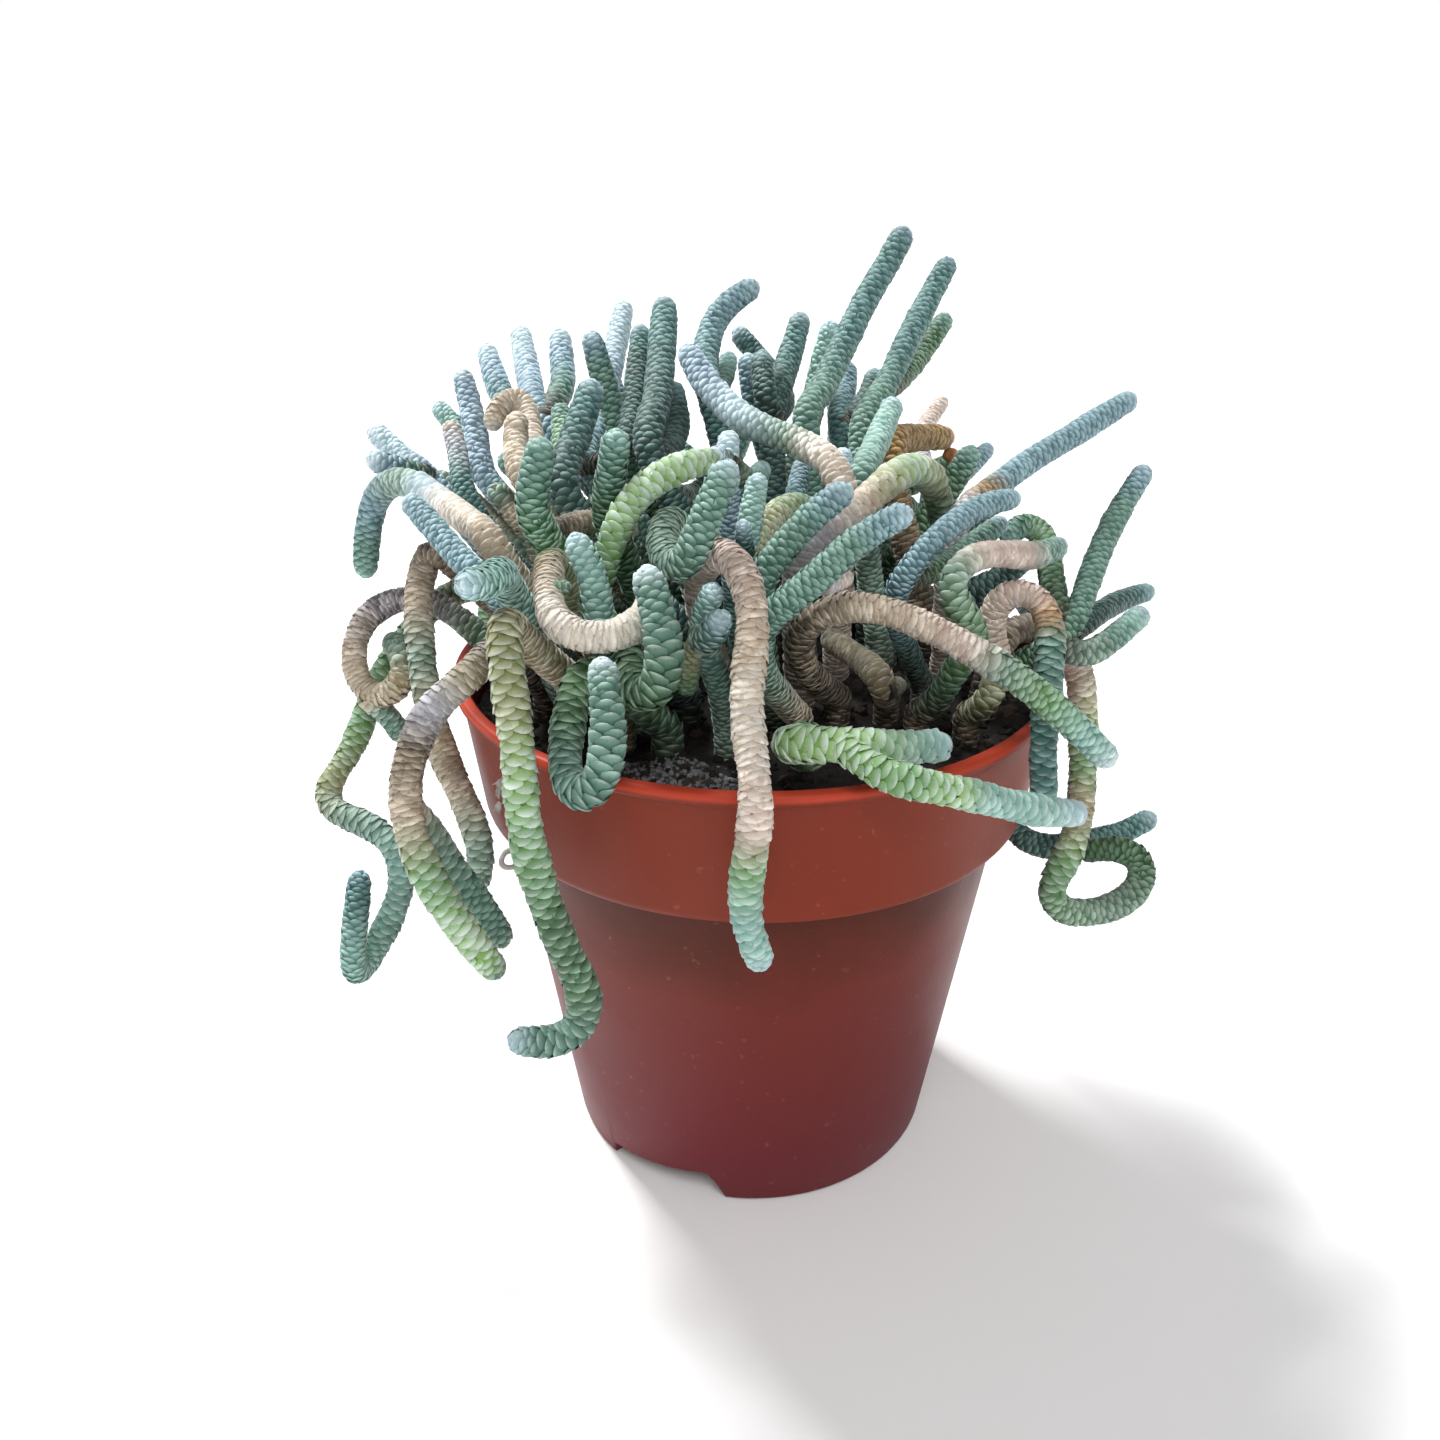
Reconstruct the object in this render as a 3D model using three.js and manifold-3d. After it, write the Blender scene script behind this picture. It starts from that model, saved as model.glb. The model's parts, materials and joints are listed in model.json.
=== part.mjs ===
// A potted avonia quinaria: a cushion of worm-like scaly stems in a moulded plastic nursery pot.
// Millimetres, +Z up. The origin is the middle of the pot's flat underside, and -Y is the front.
import * as THREE from "three";
import { mergeVertices } from "three/addons/utils/BufferGeometryUtils.js";
import Module from "manifold-3d";

const wasm = await Module();
wasm.setup();

// Driving dimensions of the pot
const potHeight = 58;
const lipRadius = 32.5;
const lipHeight = 1.2;
const collarHeight = 15;
const collarTopRadius = 31.8;
const collarFootRadius = 30.1;
const bodyTopRadius = 27.8;
const baseRadius = 21.6;
const baseCorner = 0.6;
const wall = 0.9;
const potSides = 32;

// Two raised notches at the edge of the floor let water out. The ceiling of a notch slopes by the given
// degrees, from the full height at one end of its span down to the other.
const notchHeight = 4;
const notchAngles = [-26.5, 153.5];
const notchSpan = 41;
const notchSlope = 9;
const notchDepth = 5.5;
const drainRadius = 1.8;

// Driving dimensions of the soil and of the plain holes that the stems stand in
const soilLevel = 53;
const soilGap = 0.3;
const soilRoughness = 0.5;
const rootDepth = 5;
const rootReach = 26.3;
const rootSpacing = 5;

// Driving dimensions of a stem
const stemRadius = 1.5;
const plainRootShare = 0.92;
const scaleRise = 0.16;
const scaleDip = 0.2;
const scaleLean = 0.5;
const scaleStep = 5.4;
const bendPerRing = 1.45;
const stemSides = 6;
const sampleStep = 2;
const stemClearance = 0.75;
const wallClearance = 0.55;

// The stems are laid out on a pane that faces the viewer: it stands square to a line of sight that
// starts at the eye and looks down on the plant. A route point is [across, rise, behind]: how far it
// looks to be to the right of and above the middle of the pane, and how far behind the pane it is.
const eye = new THREE.Vector3(0, -126.4, 109.7);
const lookDown = THREE.MathUtils.degToRad(25.3);
const lookLeft = THREE.MathUtils.degToRad(1.75);
const paneDistance = 124.7;
const sight = new THREE.Vector3(
  -Math.sin(lookLeft) * Math.cos(lookDown),
  Math.cos(lookLeft) * Math.cos(lookDown),
  -Math.sin(lookDown),
);
const paneRight = new THREE.Vector3(Math.cos(lookLeft), Math.sin(lookLeft), 0);
const paneUp = new THREE.Vector3().crossVectors(paneRight, sight);

function throughPane([across, rise, behind]) {
  const reach = (paneDistance + behind) / paneDistance;
  return eye.clone()
    .addScaledVector(sight, paneDistance * reach)
    .addScaledVector(paneRight, across * reach)
    .addScaledVector(paneUp, rise * reach);
}

// The stems that show from the front, each from its root in the soil [x, y] along its route to its
// tip. A fork leaves the route at the given point. "thick" is a share of the common stem radius.
const frontStems = [
  // Stems that hang over the front of the pot
  { root: [-12, -12], thick: 0.98, route: [[-17.8, 9.5, -10], [-19.3, 12, -13], [-20, 10, -16.5],
    [-19.6, 4, -17.8], [-19, -2, -18], [-18.9, -8, -17.5], [-18.3, -13, -16], [-17, -18, -15],
    [-15, -23.5, -13], [-13.2, -27, -11.5], [-13.1, -30, -11], [-15.2, -32.2, -11.5],
    [-18, -32.3, -12.5], [-20.3, -32, -13]] },
  { root: [-3, -10], thick: 0.95, route: [[-3, 13, -8], [-1, 16.4, -13], [0.8, 14.2, -16],
    [2, 11.5, -17.5], [2.2, 7, -18.5], [1.8, 2, -19], [2.4, -2.5, -20], [3.2, -6, -21],
    [3.3, -10, -21.5], [2.8, -14, -20], [2.2, -18, -18], [2.8, -21.5, -16.5], [4, -24.2, -15.5]] },
  { root: [-9, -14], thick: 0.98, route: [[-12.8, 6, -9], [-14.8, 4.5, -11], [-15.6, 0, -13.5],
    [-16.2, -3.6, -16], [-15.5, -6.6, -18], [-13.2, -7.2, -20], [-11.9, -4.5, -20.5],
    [-11.6, 0, -20.5], [-12, 3.5, -19.5], [-12.3, 6, -19]] },
  { root: [-21, -6], thick: 1, route: [[-21, 7.5, -4], [-22.5, 6.2, -8], [-25.5, 3.5, -9],
    [-28.8, 1, -9], [-30, -2, -9.5], [-31.3, -5.5, -10], [-31.3, -9, -10.5], [-30.2, -13, -10.5],
    [-28, -17.5, -10], [-25.5, -21.2, -9], [-23.5, -23.5, -8.5], [-22.3, -25, -8]],
    forks: [{ at: 6, thick: 0.96, route: [[-28.8, -11.5, -6.5], [-26.3, -15.5, -5.5], [-23.5, -19, -5],
    [-21.8, -22, -5]] }] },

  // Stems that arch and curl in front of the cushion
  { root: [-16, -4], thick: 0.92, route: [[-17.5, 16, -4], [-19, 13.5, -12], [-18.6, 10.2, -15],
    [-16, 8.4, -16.5], [-12.5, 8.3, -16.5], [-9.3, 9.4, -15.5], [-7.8, 11.8, -13], [-6.8, 14.5, -10]],
    forks: [{ at: 1, thick: 0.62, route: [[-17.6, 12.6, -12.5], [-16.9, 13.6, -13]] }] },
  { root: [-8, -5], thick: 1.05, route: [[-9.3, 8, -10], [-9.6, 5, -13], [-8.3, 2.7, -16],
    [-6.3, 3.6, -18], [-5.6, 6.5, -18.5], [-6.4, 10.5, -18.5], [-7.6, 14.8, -18]] },
  { root: [-11, -8], thick: 0.93, route: [[-12.5, 8.6, -9], [-12.6, 10.6, -11], [-14.2, 14, -12],
    [-15.8, 17.3, -12]] },
  { root: [-9, -3], thick: 0.92, route: [[-12, 9, -6], [-11.6, 12, -8], [-10.6, 16, -9],
    [-9.3, 20, -9], [-7, 22.8, -9], [-3.8, 24.6, -8.5], [-0.5, 25.2, -6]] },
  { root: [-5, -6], thick: 0.99, route: [[-5.5, 19, -5], [-6.8, 18, -9], [-6.3, 14.8, -12],
    [-4, 13.8, -14.5], [-2.6, 16.5, -15.5], [-1, 20.5, -16], [0.7, 24, -16]] },
  { root: [-10, 2], thick: 1.02, route: [[-11.5, 19, -2], [-11, 22, -6], [-10.4, 25, -9],
    [-10.1, 27.2, -10]] },
  { root: [-14, 1], thick: 1.08, route: [[-18.2, 18, -5], [-19, 21, -8], [-18.6, 24, -8.5],
    [-18, 26.2, -8.5]], forks: [{ at: 0, thick: 0.9, route: [[-16.5, 17.6, -2.5], [-13.5, 18.3, -1],
    [-10.8, 18.5, 2], [-8.5, 17.5, 5]] }] },
  { root: [-19, -10], thick: 1, route: [[-20, 13, -12], [-20.8, 13.6, -17], [-22, 12.4, -20],
    [-24, 12.6, -22]] },

  // Stems on the left
  { root: [-17, 2], thick: 0.98, route: [[-21, 15, 0], [-22.8, 18.2, -2], [-26, 20.6, 2],
    [-29, 22.8, 6], [-32, 24.4, 9], [-34.2, 23, 12], [-35, 20, 13], [-35.3, 17, 13.5],
    [-35.3, 15.2, 13.5]] },
  { root: [-18, -3], thick: 0.85, route: [[-21.5, 12, -4], [-23.5, 14, -5], [-26.5, 17, -3],
    [-29, 20, -1], [-30.8, 21.8, 0]] },
  { root: [-24, 4], thick: 0.97, route: [[-28, 16.5, 8], [-29.3, 16.5, 10], [-30.3, 13, 9],
    [-30, 8, 7], [-29.3, 3, 6], [-28, -2, 5], [-26.5, -5.5, 4.5], [-24.8, -9, 4], [-23.3, -13, 4],
    [-24, -16.3, 4.5]] },
  { root: [-26, 0], thick: 0.9, route: [[-29, 12, 14], [-32, 11.8, 14], [-35, 10.8, 13],
    [-36.6, 7.5, 12], [-36.5, 4, 12], [-34.5, 1.9, 11.5], [-32, 3, 10.5], [-31.3, 5.6, 11],
    [-33, 8, 13.5]], forks: [{ at: 5, thick: 0.9, route: [[-33, 0.5, 13.5], [-31.8, -1.6, 14]] }] },
  { root: [-25, 8], thick: 0.9, route: [[-24, 13.5, 18], [-29, 11, 18], [-33, 6, 17], [-35, 2, 17],
    [-36.5, -2.5, 16], [-38.5, -5.5, 15], [-39.9, -7.5, 14.5], [-38.5, -9.3, 13.5], [-35.5, -10.3, 12],
    [-32.6, -12.3, 11], [-31.6, -16, 11], [-33, -20, 11.5], [-35, -23.8, 11.5], [-36.4, -26, 9.5],
    [-36.8, -23.5, 7.2], [-36.4, -19.5, 7], [-36, -15.7, 7.5]] },
  { root: [-22, 12], thick: 0.96, route: [[-27, 24.5, 16], [-29.5, 26, 17], [-31.5, 27.8, 17.5],
    [-33.2, 29.5, 18]], forks: [{ at: 0, thick: 0.96, route: [[-30, 25.4, 13], [-33.4, 26.6, 12]] }] },
  { root: [-18, 10], thick: 0.8, route: [[-24.5, 22, 16], [-26, 26, 18], [-27, 29.2, 18.5]] },
  { root: [-14, 14], thick: 0.95, route: [[-23, 23, 24], [-24, 27, 25], [-25, 31, 26],
    [-25.7, 33.8, 26.5]], forks: [{ at: 0, thick: 0.87, route: [[-26, 28.5, 29],
    [-28.2, 31.1, 30]] }] },

  // Stems on top, from the left to the right
  { root: [-8, 22], thick: 1.08, route: [[-17, 29, 36], [-18.6, 33, 42], [-19.7, 38.2, 48]],
    forks: [{ at: 0, thick: 1.08, route: [[-20.5, 31, 42], [-22.3, 35, 46], [-23, 37.2, 48]] },
    { at: 0, thick: 1.08, route: [[-16.2, 33, 41], [-16.3, 35, 44], [-16.5, 38.3, 46]] }] },
  { root: [-10, 10], thick: 0.96, route: [[-18.3, 22, 12], [-20, 26, 14], [-19.9, 29.5, 15.5]],
    forks: [{ at: 0, thick: 0.83, route: [[-17.2, 26, 20], [-17.4, 31, 24]] },
    { at: 0, thick: 0.9, route: [[-18.6, 27, 22], [-19.5, 31.3, 25], [-22, 31, 24],
    [-23, 28.5, 23.5]] }] },
  { root: [-8, 6], thick: 1.12, route: [[-15.8, 22, 8], [-15.2, 26, 10], [-14, 30, 12],
    [-12.9, 33.2, 13]] },
  { root: [-4, 18], thick: 0.95, route: [[-13.2, 25, 24], [-12, 29, 30], [-10.8, 35, 36],
    [-9.6, 41.2, 40]], forks: [{ at: 0, thick: 0.9, route: [[-9.8, 27, 20], [-9.2, 32, 24],
    [-8.5, 38.8, 28]] }] },
  { root: [1, 13], thick: 1.08, route: [[-6.5, 25, 12], [-6, 31, 16], [-5.6, 36, 20],
    [-5.3, 41.2, 23]], forks: [{ at: 0, thick: 0.96, route: [[-4, 29, 18], [-4.1, 33.5, 22]] }] },
  { root: [9, 4], thick: 1.02, route: [[11.5, 22, 2], [10.5, 25.5, 3], [7, 27.7, 5], [3, 29, 6],
    [0, 31.5, 8], [-2.2, 34.2, 9], [-3.4, 36.6, 10]] },
  { root: [2, 20], thick: 1.05, route: [[-0.8, 31, 22], [-1.4, 35, 26], [-0.4, 39.5, 28],
    [2, 42, 28.5], [3.4, 42.7, 28.5]], forks: [{ at: 0, thick: 0.87, route: [[-0.2, 33.5, 27],
    [0.8, 36.6, 30]] }] },
  { root: [5, 24], thick: 1.02, route: [[5.2, 29, 28], [6.2, 34, 33], [7.6, 39, 34]],
    forks: [{ at: 0, thick: 0.92, route: [[4.6, 31, 25], [4.2, 35.6, 28]] },
    { at: 0, thick: 0.92, route: [[5.4, 33.5, 37], [3, 36.8, 38], [1.2, 39, 38]] }] },
  { root: [10, 11], thick: 1, route: [[8.5, 29, 14], [10, 32.5, 17], [12.4, 37.5, 20],
    [14.8, 42.5, 22], [17.3, 46.5, 23], [18.3, 48.6, 23]] },
  { root: [14, 17], thick: 0.98, route: [[12.2, 29, 30], [12.6, 32, 34], [13.1, 35.2, 37]],
    forks: [{ at: 0, thick: 0.92, route: [[14.4, 31, 31], [15.6, 34.5, 34]] }] },
  { root: [17, 13], thick: 1, route: [[14.5, 28, 24], [16.5, 32.5, 28], [18.5, 37, 31],
    [20.7, 41.5, 34], [22.8, 45.4, 35]], forks: [{ at: 1, thick: 0.92, route: [[19.5, 36, 36],
    [21.2, 38.5, 38], [22.4, 40.2, 39]] }] },
  { root: [13, 5], thick: 0.93, route: [[13.5, 23, 6], [14.8, 26, 9], [16, 29, 12], [17.2, 31.5, 14]],
    forks: [{ at: 0, thick: 0.76, route: [[12, 24.5, 10], [12, 26.6, 12]] }] },
  { root: [7, 2], thick: 0.76, route: [[7.8, 20.5, 6], [8.3, 23, 8], [8.6, 25.6, 9.5]] },
  { root: [19, 13], thick: 1.05, route: [[16.5, 26.6, 18], [18.5, 28, 22], [20.5, 28.3, 25],
    [22.4, 28.2, 28]] },
  { root: [21, 16], thick: 0.82, route: [[21, 23, 28], [22.5, 23.5, 31], [24.5, 25, 34],
    [26.4, 27, 36]], forks: [{ at: 0, thick: 0.78, route: [[20, 28, 40], [22.3, 31.6, 44]] }] },
  { root: [-2, 3], thick: 0.81, route: [[0.8, 25, 2], [0.9, 28.2, 3]],
    forks: [{ at: 0, thick: 0.81, route: [[-0.6, 26.5, -1]] },
    { at: 0, thick: 0.81, route: [[3.4, 23.5, 5], [4.3, 25.5, 6]] }] },
  { root: [0, -2], thick: 0.8, route: [[2.5, 17, -5], [3.2, 21, -5.5], [3.7, 24, -5.5]],
    forks: [{ at: 0, thick: 0.58, route: [[2.3, 17, -9], [2.2, 19.5, -10]] },
    { at: 0, thick: 0.9, route: [[5.8, 20.6, -2], [8, 21.6, 0], [9.6, 21.2, 3]] }] },

  // Stems that lean out to the right
  { root: [6, -3], thick: 1.02, route: [[8.5, 17, -3], [11.5, 19.3, -3], [15, 22, -3], [18.3, 25, 0],
    [20.8, 24.8, 4], [22, 22, 8], [22.3, 19.5, 11]] },
  { root: [2, -9], thick: 0.92, route: [[3.7, 12.5, -10], [5.2, 15.5, -11], [7.5, 18.5, -11],
    [10.2, 21.2, -11], [12.6, 22.9, -11]] },
  { root: [4, -12], thick: 0.9, route: [[3.8, 5, -9], [3.6, 9, -12], [5.5, 11, -14], [9, 13.6, -15],
    [12.5, 17, -15.5], [15.5, 19.3, -15.5], [18.4, 20.6, -15.5]],
    forks: [{ at: 3, thick: 0.71, route: [[10.8, 13.2, -12], [12.6, 14, -11.5]] }] },
  { root: [18, -3], thick: 0.77, route: [[17.5, 11, -4], [18.5, 14, -7], [21, 17, -8], [24, 19.8, -6],
    [27, 21.5, -3], [29.6, 22, -1]], forks: [{ at: 1, thick: 0.77, route: [[22.5, 15.2, -2],
    [25, 17.2, 0], [28.2, 19.6, 3]] }] },
  { root: [21, 4], thick: 0.88, route: [[23.5, 19.5, 4], [27, 22.8, 7], [30.5, 25.6, 10],
    [34.5, 28, 12], [38.5, 30.5, 14], [41, 32, 15]] },
  { root: [25, -1], thick: 0.86, route: [[33.5, 8, 6], [35.8, 12, 8], [37.3, 16, 10], [39.5, 20.5, 12],
    [42.2, 24.8, 13]], forks: [{ at: 0, thick: 0.8, route: [[38.5, 11.3, 14], [41.8, 12.4, 16]] },
    { at: 0, thick: 0.92, route: [[35, 5.5, 6], [38.5, 8, 7], [41.2, 10.3, 8]] },
    { at: 0, thick: 0.92, route: [[32, 14, 10], [31.8, 18, 12], [29.8, 20, 12], [28, 18, 11]] }] },
  { root: [17, -10], thick: 0.86, route: [[21.8, 2, 0], [24.5, 6.5, -6], [26.3, 8.5, -6.5],
    [23.5, 11, -9], [22.5, 13.7, -9.5], [24.5, 15.9, -8], [28, 16.4, -5], [31.5, 16, -2],
    [33.8, 17, 1]] },
  { root: [20, -11], thick: 0.88, route: [[25, 1.5, -1], [27, 5, -2], [26, 9.5, -3], [27, 12.8, -5],
    [30, 13.6, -5.5], [32.3, 11.5, -6], [32.5, 7, -7.5], [32.2, 2, -8.5], [31.8, -3, -8.5],
    [32, -8, -7]] },
  { root: [9, -7], thick: 0.92, route: [[9, 5, -3], [7.7, 8.8, -7], [11, 11.6, -9], [15.5, 11.8, -10],
    [20, 10, -11], [24, 8, -11.5], [28, 5.5, -12], [32, 2.7, -12.5], [35.5, -0.5, -13],
    [37.5, -2.6, -13], [38.8, -3.8, -13]] },
  { root: [5, -16], thick: 1.02, route: [[6.5, -2.5, -14], [8.5, -2.6, -15.5], [12, -2.8, -17],
    [16, -3.3, -17], [19.5, -3.4, -15], [22.2, -3.4, -13.5]],
    forks: [{ at: 2, thick: 0.9, route: [[16, -5.8, -20], [20, -6.6, -20], [25, -7.6, -18],
    [30, -8.8, -15], [34, -9.4, -12], [35.8, -9.3, -10.5]] }] },
  { root: [26, -6], thick: 1, route: [[30.5, 8.5, 6.5], [34, 8, 8], [36.3, 3, 10.5], [36.4, -3, 12],
    [36, -10, 12], [34.8, -14, 12], [32.7, -16.8, 12.5], [33.5, -19.2, 13], [37, -19.4, 13.5],
    [41, -18, 14], [42.8, -15, 14.5], [41.3, -12.9, 15], [38.5, -12.7, 16], [36.5, -13.2, 17]] },
  { root: [22, 12], thick: 0.93, route: [[28, 13, 26], [31, 9, 28], [31, 2, 26], [29.5, -6, 24],
    [29, -11, 22], [32, -12.8, 21], [36, -12.3, 21], [40, -11.5, 21], [43, -9.8, 21]] },

  // Short stems that stand low between the others
  { root: [-4, -14], thick: 0.81, route: [[-3, 10, -10], [-2.6, 12, -12], [-1.6, 14.3, -13]],
    forks: [{ at: 0, thick: 0.92, route: [[-1.9, 9, -14.5], [0, 11.6, -16]] },
    { at: 0, thick: 0.76, route: [[-3.8, 7, -7], [-3.3, 4, -5]] }] },
  { root: [13.8, -8], thick: 0.9, route: [[16, 2.5, -2], [15, 4.3, 0], [12.5, 5.7, 3], [9.5, 7.5, 6]],
    forks: [{ at: 0, thick: 0.71, route: [[17.6, 3, 0]] }] },
];

// The back of the cushion follows a rule: each stem rises from the soil, arches outwards and either
// stands up or hangs over the lip, with two forks of its own.
const backStemCount = 7;
const backFrom = 38;
const backTo = 150;
const seed = 20;

let drawState = seed;
function draw(low, high) {
  drawState = (drawState * 1103515245 + 12345) % 2147483648;
  return low + (high - low) * (drawState / 2147483648);
}

function backPoint(turn, radius, height) {
  const angle = THREE.MathUtils.degToRad(turn);
  return new THREE.Vector3(Math.cos(angle) * radius, Math.sin(angle) * radius, height);
}

function backStem(index) {
  const turn = backFrom + (backTo - backFrom) * index / (backStemCount - 1) + draw(-4, 4);
  const hangs = index % 2 === 1;
  const drop = Math.max(0, (75 - turn) * 0.2, (turn - 105) * 0.1);
  const reach = draw(37, 42);
  const crown = draw(66, 72) - drop;
  const end = hangs ? draw(24, 36) : draw(80, 88) - 3 * drop;
  const sway = draw(-12, 12);
  const points = [
    backPoint(turn, 27, 61 - 0.5 * drop),
    backPoint(turn + sway * 0.3, 33, crown),
    backPoint(turn + sway * 0.6, reach, hangs ? crown - 4 : crown + 4),
    backPoint(turn + sway, reach + 2, hangs ? 0.5 * (crown + end) : 0.5 * (crown + end) + 2),
    backPoint(turn + sway * 1.2, reach + (hangs ? 1 : 5), end),
  ];
  const side = draw(0, 1) < 0.5 ? -1 : 1;
  const forks = [
    { at: 0, points: [backPoint(turn + side * 10, 27, 68 - drop),
      backPoint(turn + side * 14, 30, 77 - 2 * drop),
      backPoint(turn + side * 17, 33, draw(83, 90) - 3 * drop)] },
    { at: 1, points: [backPoint(turn - side * 9, 38, 67 - drop),
      backPoint(turn - side * 16, 42, 70 - drop),
      backPoint(turn - side * 20, 45, draw(72, 80) - 2 * drop)] },
  ];
  const root = backPoint(turn, 21, soilLevel);
  return { root: [root.x, root.y], points, forks };
}

// A smooth line through the given points, cut into steps of equal length
function smoothLine(points, step) {
  const fine = [];
  for (let i = 0; i < points.length - 1; i += 1) {
    const a = points[Math.max(i - 1, 0)];
    const b = points[i];
    const c = points[i + 1];
    const d = points[Math.min(i + 2, points.length - 1)];
    for (let k = 0; k < 12; k += 1) {
      const t = k / 12;
      const weights = [
        -0.5 * t + t * t - 0.5 * t * t * t,
        1 - 2.5 * t * t + 1.5 * t * t * t,
        0.5 * t + 2 * t * t - 1.5 * t * t * t,
        -0.5 * t * t + 0.5 * t * t * t,
      ];
      fine.push(new THREE.Vector3()
        .addScaledVector(a, weights[0])
        .addScaledVector(b, weights[1])
        .addScaledVector(c, weights[2])
        .addScaledVector(d, weights[3]));
    }
  }
  fine.push(points[points.length - 1].clone());
  const along = [0];
  for (let i = 1; i < fine.length; i += 1) along.push(along[i - 1] + fine[i].distanceTo(fine[i - 1]));
  const total = along[along.length - 1];
  const count = Math.max(2, Math.round(total / step));
  const even = [];
  let i = 0;
  for (let k = 0; k <= count; k += 1) {
    const target = total * k / count;
    while (i < fine.length - 2 && along[i + 1] < target) i += 1;
    const share = (target - along[i]) / (along[i + 1] - along[i]);
    even.push(fine[i].clone().lerp(fine[i + 1], share));
  }
  return even;
}

// Every stem becomes strands: its own line from the root to the tip, then one for each fork
const strands = [];

function addStem(number, stem) {
  const radius = stemRadius * (stem.thick ?? 1);
  const way = stem.points ?? stem.route.map(throughPane);
  const foot = new THREE.Vector3(stem.root[0], stem.root[1], soilLevel - rootDepth);
  const collar = new THREE.Vector3(stem.root[0], stem.root[1], soilLevel + 3);
  const line = smoothLine([collar, ...way], sampleStep);
  const rooted = [foot, foot.clone().setZ(soilLevel - 2), foot.clone().setZ(soilLevel + 0.5), ...line];
  const main = { number, radius, points: rooted, rooted: 4, parent: null };
  strands.push(main);
  for (const fork of stem.forks ?? []) {
    const from = way[fork.at];
    let nearest = main.rooted;
    rooted.forEach((point, i) => {
      const better = point.distanceTo(from) < rooted[nearest].distanceTo(from);
      if (i >= main.rooted && better) nearest = i;
    });
    const forkWay = fork.points ?? fork.route.map(throughPane);
    const forkLine = smoothLine([rooted[nearest].clone(), ...forkWay], sampleStep);
    const forkRadius = stemRadius * (fork.thick ?? stem.thick ?? 1);
    strands.push({ number, radius: forkRadius, points: forkLine, rooted: 0, parent: main, at: nearest });
  }
}

frontStems.forEach((stem, i) => addStem(i, stem));
for (let i = 0; i < backStemCount; i += 1) addStem(frontStems.length + i, backStem(i));

// The pot's wall as stems see it: a line of [radius, height] that they keep clear of on either side
const wallLine = [
  [lipRadius - 0.5, potHeight - 0.5],
  [collarFootRadius - 0.5, potHeight - collarHeight + 0.4],
  [bodyTopRadius - 0.5, potHeight - collarHeight],
  [baseRadius - 0.5, 0.5],
];
const wallHalf = 0.6;

function pushOffWall(x, y, z, keep) {
  const radius = Math.hypot(x, y);
  let best = Infinity;
  let awayRadius = 0;
  let awayHeight = 0;
  for (let i = 0; i < wallLine.length - 1; i += 1) {
    const [r0, z0] = wallLine[i];
    const [r1, z1] = wallLine[i + 1];
    const along = (radius - r0) * (r1 - r0) + (z - z0) * (z1 - z0);
    const t = Math.min(1, Math.max(0, along / ((r1 - r0) ** 2 + (z1 - z0) ** 2)));
    const dr = radius - (r0 + t * (r1 - r0));
    const dz = z - (z0 + t * (z1 - z0));
    const distance = Math.hypot(dr, dz);
    if (distance < best) {
      best = distance;
      awayRadius = dr / distance;
      awayHeight = dz / distance;
    }
  }
  const short = keep - best;
  if (short <= 0) return null;
  return [x / radius * awayRadius * short, y / radius * awayRadius * short, awayHeight * short];
}

// A line without its small kinks: each point moves half the way to the middle of its neighbours
function softened(places, firm) {
  return places.map((place, i) => {
    if (i < firm || i === places.length - 1) return place.clone();
    return places[i - 1].clone().add(places[i + 1]).multiplyScalar(0.25).addScaledVector(place, 0.5);
  });
}

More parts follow.
